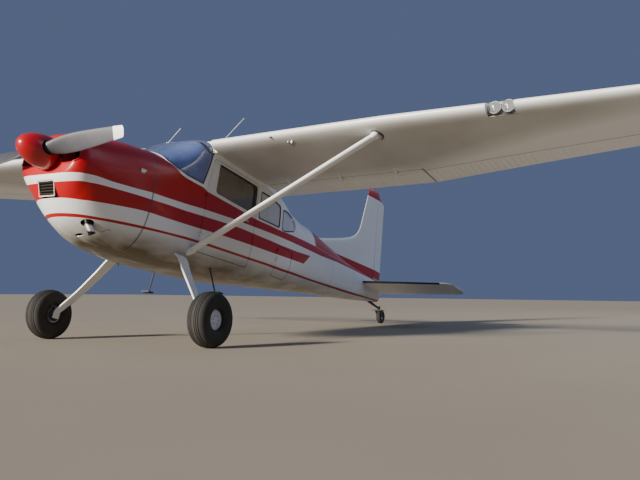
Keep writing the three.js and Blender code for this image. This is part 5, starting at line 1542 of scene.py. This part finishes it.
def tailwheel():
    """Leaf spring, swivel socket, fork with its steering arms, hub and tyre."""
    at = np.linspace(SPRING[0, 0], SPRING[-1, 0], 24)
    z, wide, thick = (column(SPRING, k, at)[:, None] for k in (1, 2, 3))
    a, b = powered(circle(40).T, 0.3)
    leaf_ = loft(np.stack([wide / 2 * a, at[:, None] + 0 * a, z + thick / 2 * b], -1))
    room = rod([0, TAIL_PIVOT_Y, 8], [0, TAIL_PIVOT_Y, 70], 12.3)
    socket = turned([[0, 18], [27, 18], [27, 76], [22, 82], [0, 82]], [0, TAIL_PIVOT_Y, 0], "z", 40)
    piece("tail_leaf", (leaf_ + socket) - room, spring_paint, stands_for="tail_spring")
    crown = 18 - GAP
    front, rear, half = TAIL_PIVOT_Y - 28, TAIL_AXLE_Y + 24, 49
    arm = [[front, crown - 26], [TAIL_PIVOT_Y + 8, crown - 44], [TAIL_AXLE_Y - 14, TAIL_AXLE_Z - 22],
           [rear, TAIL_AXLE_Z - 14], [rear, TAIL_AXLE_Z + 18], [TAIL_PIVOT_Y + 20, crown], [front, crown]]
    arm = rounded(arm, 14)
    fork = box(-half - 10, half + 10, front - 4, TAIL_PIVOT_Y + 12, crown - 22, crown)
    fork = fork + prism(arm, half, half + 10) + prism(arm, -half - 10, -half)
    fork = fork + rod([0, TAIL_PIVOT_Y, -2], [0, TAIL_PIVOT_Y, 68], 12)
    fork = fork + rod([-half - 6, TAIL_AXLE_Y, TAIL_AXLE_Z], [half + 6, TAIL_AXLE_Y, TAIL_AXLE_Z], 9)
    fork = fork + box(-118, 118, TAIL_PIVOT_Y - 30, TAIL_PIVOT_Y - 10, crown - 14, crown - 4)
    piece("tail_fork", fork, spring_paint, "tail_fork_group", "tailwheel_fork")
    centre = [0, TAIL_AXLE_Y, TAIL_AXLE_Z]
    hub = [[9.3, -39], [30, -39], [34, -28], [51.7, -28], [51.7, 28], [34, 28], [30, 39], [9.3, 39]]
    piece("tail_hub", turned(hub, centre, sides=48), hub_paint, "tail_wheel", "tailwheel_hub")
    section = tyre(TAIL_TYRE_R, 41, bead_r=52, bead_w=27, grooves=(-9, 9), depth=3, points=60)
    piece("tail_tyre", turned(section, centre, sides=72), rubber, "tail_wheel", "tailwheel_tyre", sharp=60)


tailwheel()

# Propeller and spinner, made about the shaft and turned to where they stopped
PROP_Y, PROP_R, TIP_FROM = -978, 1041, 1000
BLADE_UP = radians(4.6)
SPINNER_R = 158
BLADE = np.array([[70, 118, 92, 60], [110, 128, 88, 56], [150, 130, 76, 50], [230, 148, 50, 40],
                  [340, 168, 34, 32], [470, 174, 26, 26], [640, 162, 20, 21], [820, 140, 15, 17.5],
                  [960, 118, 11, 15.5], [1030, 106, 8, 15], [PROP_R, 102, 5, 15]])


def set_on_shaft(body):
    """Turned about the shaft by the blades' angle and moved out along it."""
    c, s = cos(BLADE_UP), sin(BLADE_UP)
    p = np.zeros(len(body.mesh.vertices) * 3)
    body.mesh.vertices.foreach_get("co", p)
    p = p.reshape(-1, 3) - stand([0, 0, 0])
    x = p[:, 0] * 1000
    y = (cos(PITCH) * p[:, 1] - sin(PITCH) * p[:, 2]) * 1000
    z = (sin(PITCH) * p[:, 1] + cos(PITCH) * p[:, 2]) * 1000
    moved = stand(np.stack([c * x - s * z, y + PROP_Y, s * x + c * z + SHAFT_Z], -1))
    body.mesh.vertices.foreach_set("co", moved.ravel())
    return body


def propeller():
    r = np.concatenate([np.linspace(70, TIP_FROM, 70), np.linspace(TIP_FROM + 8, PROP_R, 12)])
    chord, thick, pitch = (column(BLADE, k, r)[:, None] for k in (1, 2, 3))
    # the last of the tip is rounded off on an ellipse
    chord = chord * np.sqrt(1 - np.clip((r - TIP_FROM) / 42, 0, 1) ** 7)[:, None]
    c, s = circle(48).T
    flat = 0.35 + 0.65 * np.minimum(1, thick / chord)
    along = chord / 2 * c
    depth = thick / 2 * s * np.where(s > 0, 1, flat) * (1 + 0.25 * c * (1 - np.minimum(1, thick / chord)))
    cp, sp = np.cos(np.radians(pitch)), np.sin(np.radians(pitch))
    blade = np.stack([np.broadcast_to(r[:, None], along.shape), -along * sp - depth * cp,
                      along * cp - depth * sp], -1)
    hub = rod([0, -60, 0], [0, 92.4, 0], 80, sides=48)
    blades = set_on_shaft(joined(loft(blade), loft(blade * [-1, 1, -1]), hub))
    piece("propeller_blades", blades, blade_enamel, "propeller_group", "propeller", sharp=50)

    tip, back = -1219 - PROP_Y, -871 - PROP_Y
    shoulder = back - 46
    t = np.linspace(0.012, pi / 2, 48)

    def dome(grow):
        r = SPINNER_R - grow
        front = np.stack([r * np.sin(t), shoulder - (shoulder - tip - grow) * np.cos(t)], -1)
        return np.concatenate([front, [[r, back - 4 - grow], [r - 4, back - grow]]])

    shell = np.concatenate([dome(0), [[80.4, back]], [[80.4, back - 4]], dome(4)[::-1]])
    spinner = turned(shell, [0, 0, 0], "y", 96)
    for side in (1, -1):
        root = np.stack([np.full(48, side * 60.0), *([-8, 0] + [76, 66] * circle(48)).T], -1)
        spinner = spinner - loft([root, root * [0, 1, 1] + [side * 220, 0, 0]])
    piece("spinner_shell", set_on_shaft(spinner), spinner_enamel, "propeller_group", "spinner")


propeller()


def fittings():
    """Whip antennas, boarding steps, pitot tube, door handles and small vents."""
    for name, foot, tip in (("front", (-240, 900, 884), (-240, 1088, 1169)),
                            ("rear", (203, 1227, 884), (203, 1722, 1534))):
        foot, tip = np.array(foot, float), np.array(tip, float)
        t = np.linspace(0, 1, 12)[:, None]
        whip = swept(foot + (tip - foot) * t, np.interp(t[:, 0], [0, 0.12, 1], [6, 5.4, 4.6]), 12)
        base = turned([[0, -12], [26, -12], [26, 4], [12, 14], [8, 26], [0, 27]], foot + [0, 3, 2], "z", 32)
        low = base - (hull(700, 1500) + box(-500, 500, 905, 1500, 700, foot[2] - 2))
        piece(f"antenna_{name}_whip", joined(whip, low), whip_paint, stands_for=f"antenna_{name}")
    post = swept([[400, 1238, -520], [490, 1292, -810]], [9, 8], 20)
    tread = loft([[[x, y, z] for x, z in rounded([[455, -824], [575, -824], [575, -808], [455, -808]], 6)]
                  for y in (1250, 1335)])
    both("step_post", (post + tread) - hull(1000, 1600, -GAP), spring_paint, stands_for="step_SIDE")
    x, y, z = 1535, 900, 705
    mast = box(x - 7, x + 7, y - 30, y + 30, z, 800)
    drop = wing_full.moved(0, -0.0004)
    tube = swept([[x, y + 30, z], [x, y - 50, z], [x, y - 94, z], [x, y - 100, z]], [10, 10, 8, 6], 20)
    piece("pitot_mast", (mast + tube) - drop, bright_steel, stands_for="pitot_tube")
    drain = rod([-230, 470, -672], [-230, 470, -706], 8) - hull(300, 700, -GAP)
    piece("belly_drain", drain, spring_paint)
    grip = swept([[541, 1560, 118], [556, 1566, 120], [558, 1600, 122], [556, 1640, 124], [541, 1648, 124]],
                 [7, 8, 8, 8, 7], 14)
    both("door_grip", grip, bright_steel, "door_SIDE_group")


fittings()


def engine_look():
    """The plain engine block keeps its shape and gets cast metal, with fins 15 mm apart drawn across it."""
    f = Finish("cast_block", Metallic=0.6)
    fins = (f.level()[1] * 0.42).waved()
    f.feed(Base_Color=f.mixed(f.noise(8.0, 4), rgb(0.05, 0.05, 0.052), rgb(0.11, 0.11, 0.112)),
           Roughness=0.5 + f.noise(30.0, 2) * 0.2)
    f.height(fins, 0.004)
    block = frame["nodes"]["engine_block"]
    block.data.materials.clear()
    block.data.materials.append(f.material)


engine_look()


FLOOR = 60  # half the side of the floor, in metres
SKY, SKY_STRENGTH = (0.42, 0.56, 1.0, 1), 0.22


def studio():
    """A plain floor, a warm key as far off as the sun, low ahead of the right wing, and two soft fills."""
    floor = Finish("floor", Roughness=0.8)
    floor.feed(Base_Color=floor.mixed(floor.noise(0.6, 2), rgb(0.25, 0.215, 0.165), rgb(0.285, 0.245, 0.19)))
    mesh = bpy.data.meshes.new("floor")
    corners = [(-FLOOR, -FLOOR, 0), (FLOOR, -FLOOR, 0), (FLOOR, FLOOR, 0), (-FLOOR, FLOOR, 0)]
    mesh.from_pydata(corners, [], [(0, 1, 2, 3)])
    mesh.materials.append(floor.material)
    ground = bpy.data.objects.new("floor", mesh)
    bpy.context.scene.collection.objects.link(ground)
    world = bpy.data.worlds.new("studio")
    world.use_nodes = True
    back = world.node_tree.nodes["Background"]
    back.inputs[0].default_value = SKY
    back.inputs[1].default_value = SKY_STRENGTH
    bpy.context.scene.world = world
    for name, kind, place, aim, size, power, colour in (
            ("key", "SUN", (-7.5, -21, 8), (0, -1, 1), radians(7), 9.5, (1, 0.94, 0.84)),
            ("fill", "AREA", (13, 2, 10), (0, 0, 1), 8, 280, (0.62, 0.76, 1)),
            ("rear", "AREA", (6, 13, 9), (0, 2, 1), 8, 250, (0.8, 0.9, 1))):
        light = bpy.data.lights.new(name, kind)
        light.energy, light.color = power, colour
        setattr(light, "angle" if kind == "SUN" else "size", size)
        lamp = bpy.data.objects.new(name, light)
        bpy.context.scene.collection.objects.link(lamp)
        lamp.location = place
        lamp.rotation_mode = "QUATERNION"
        lamp.rotation_quaternion = (Vector(place) - Vector(aim)).to_track_quat("Z", "Y")


studio()
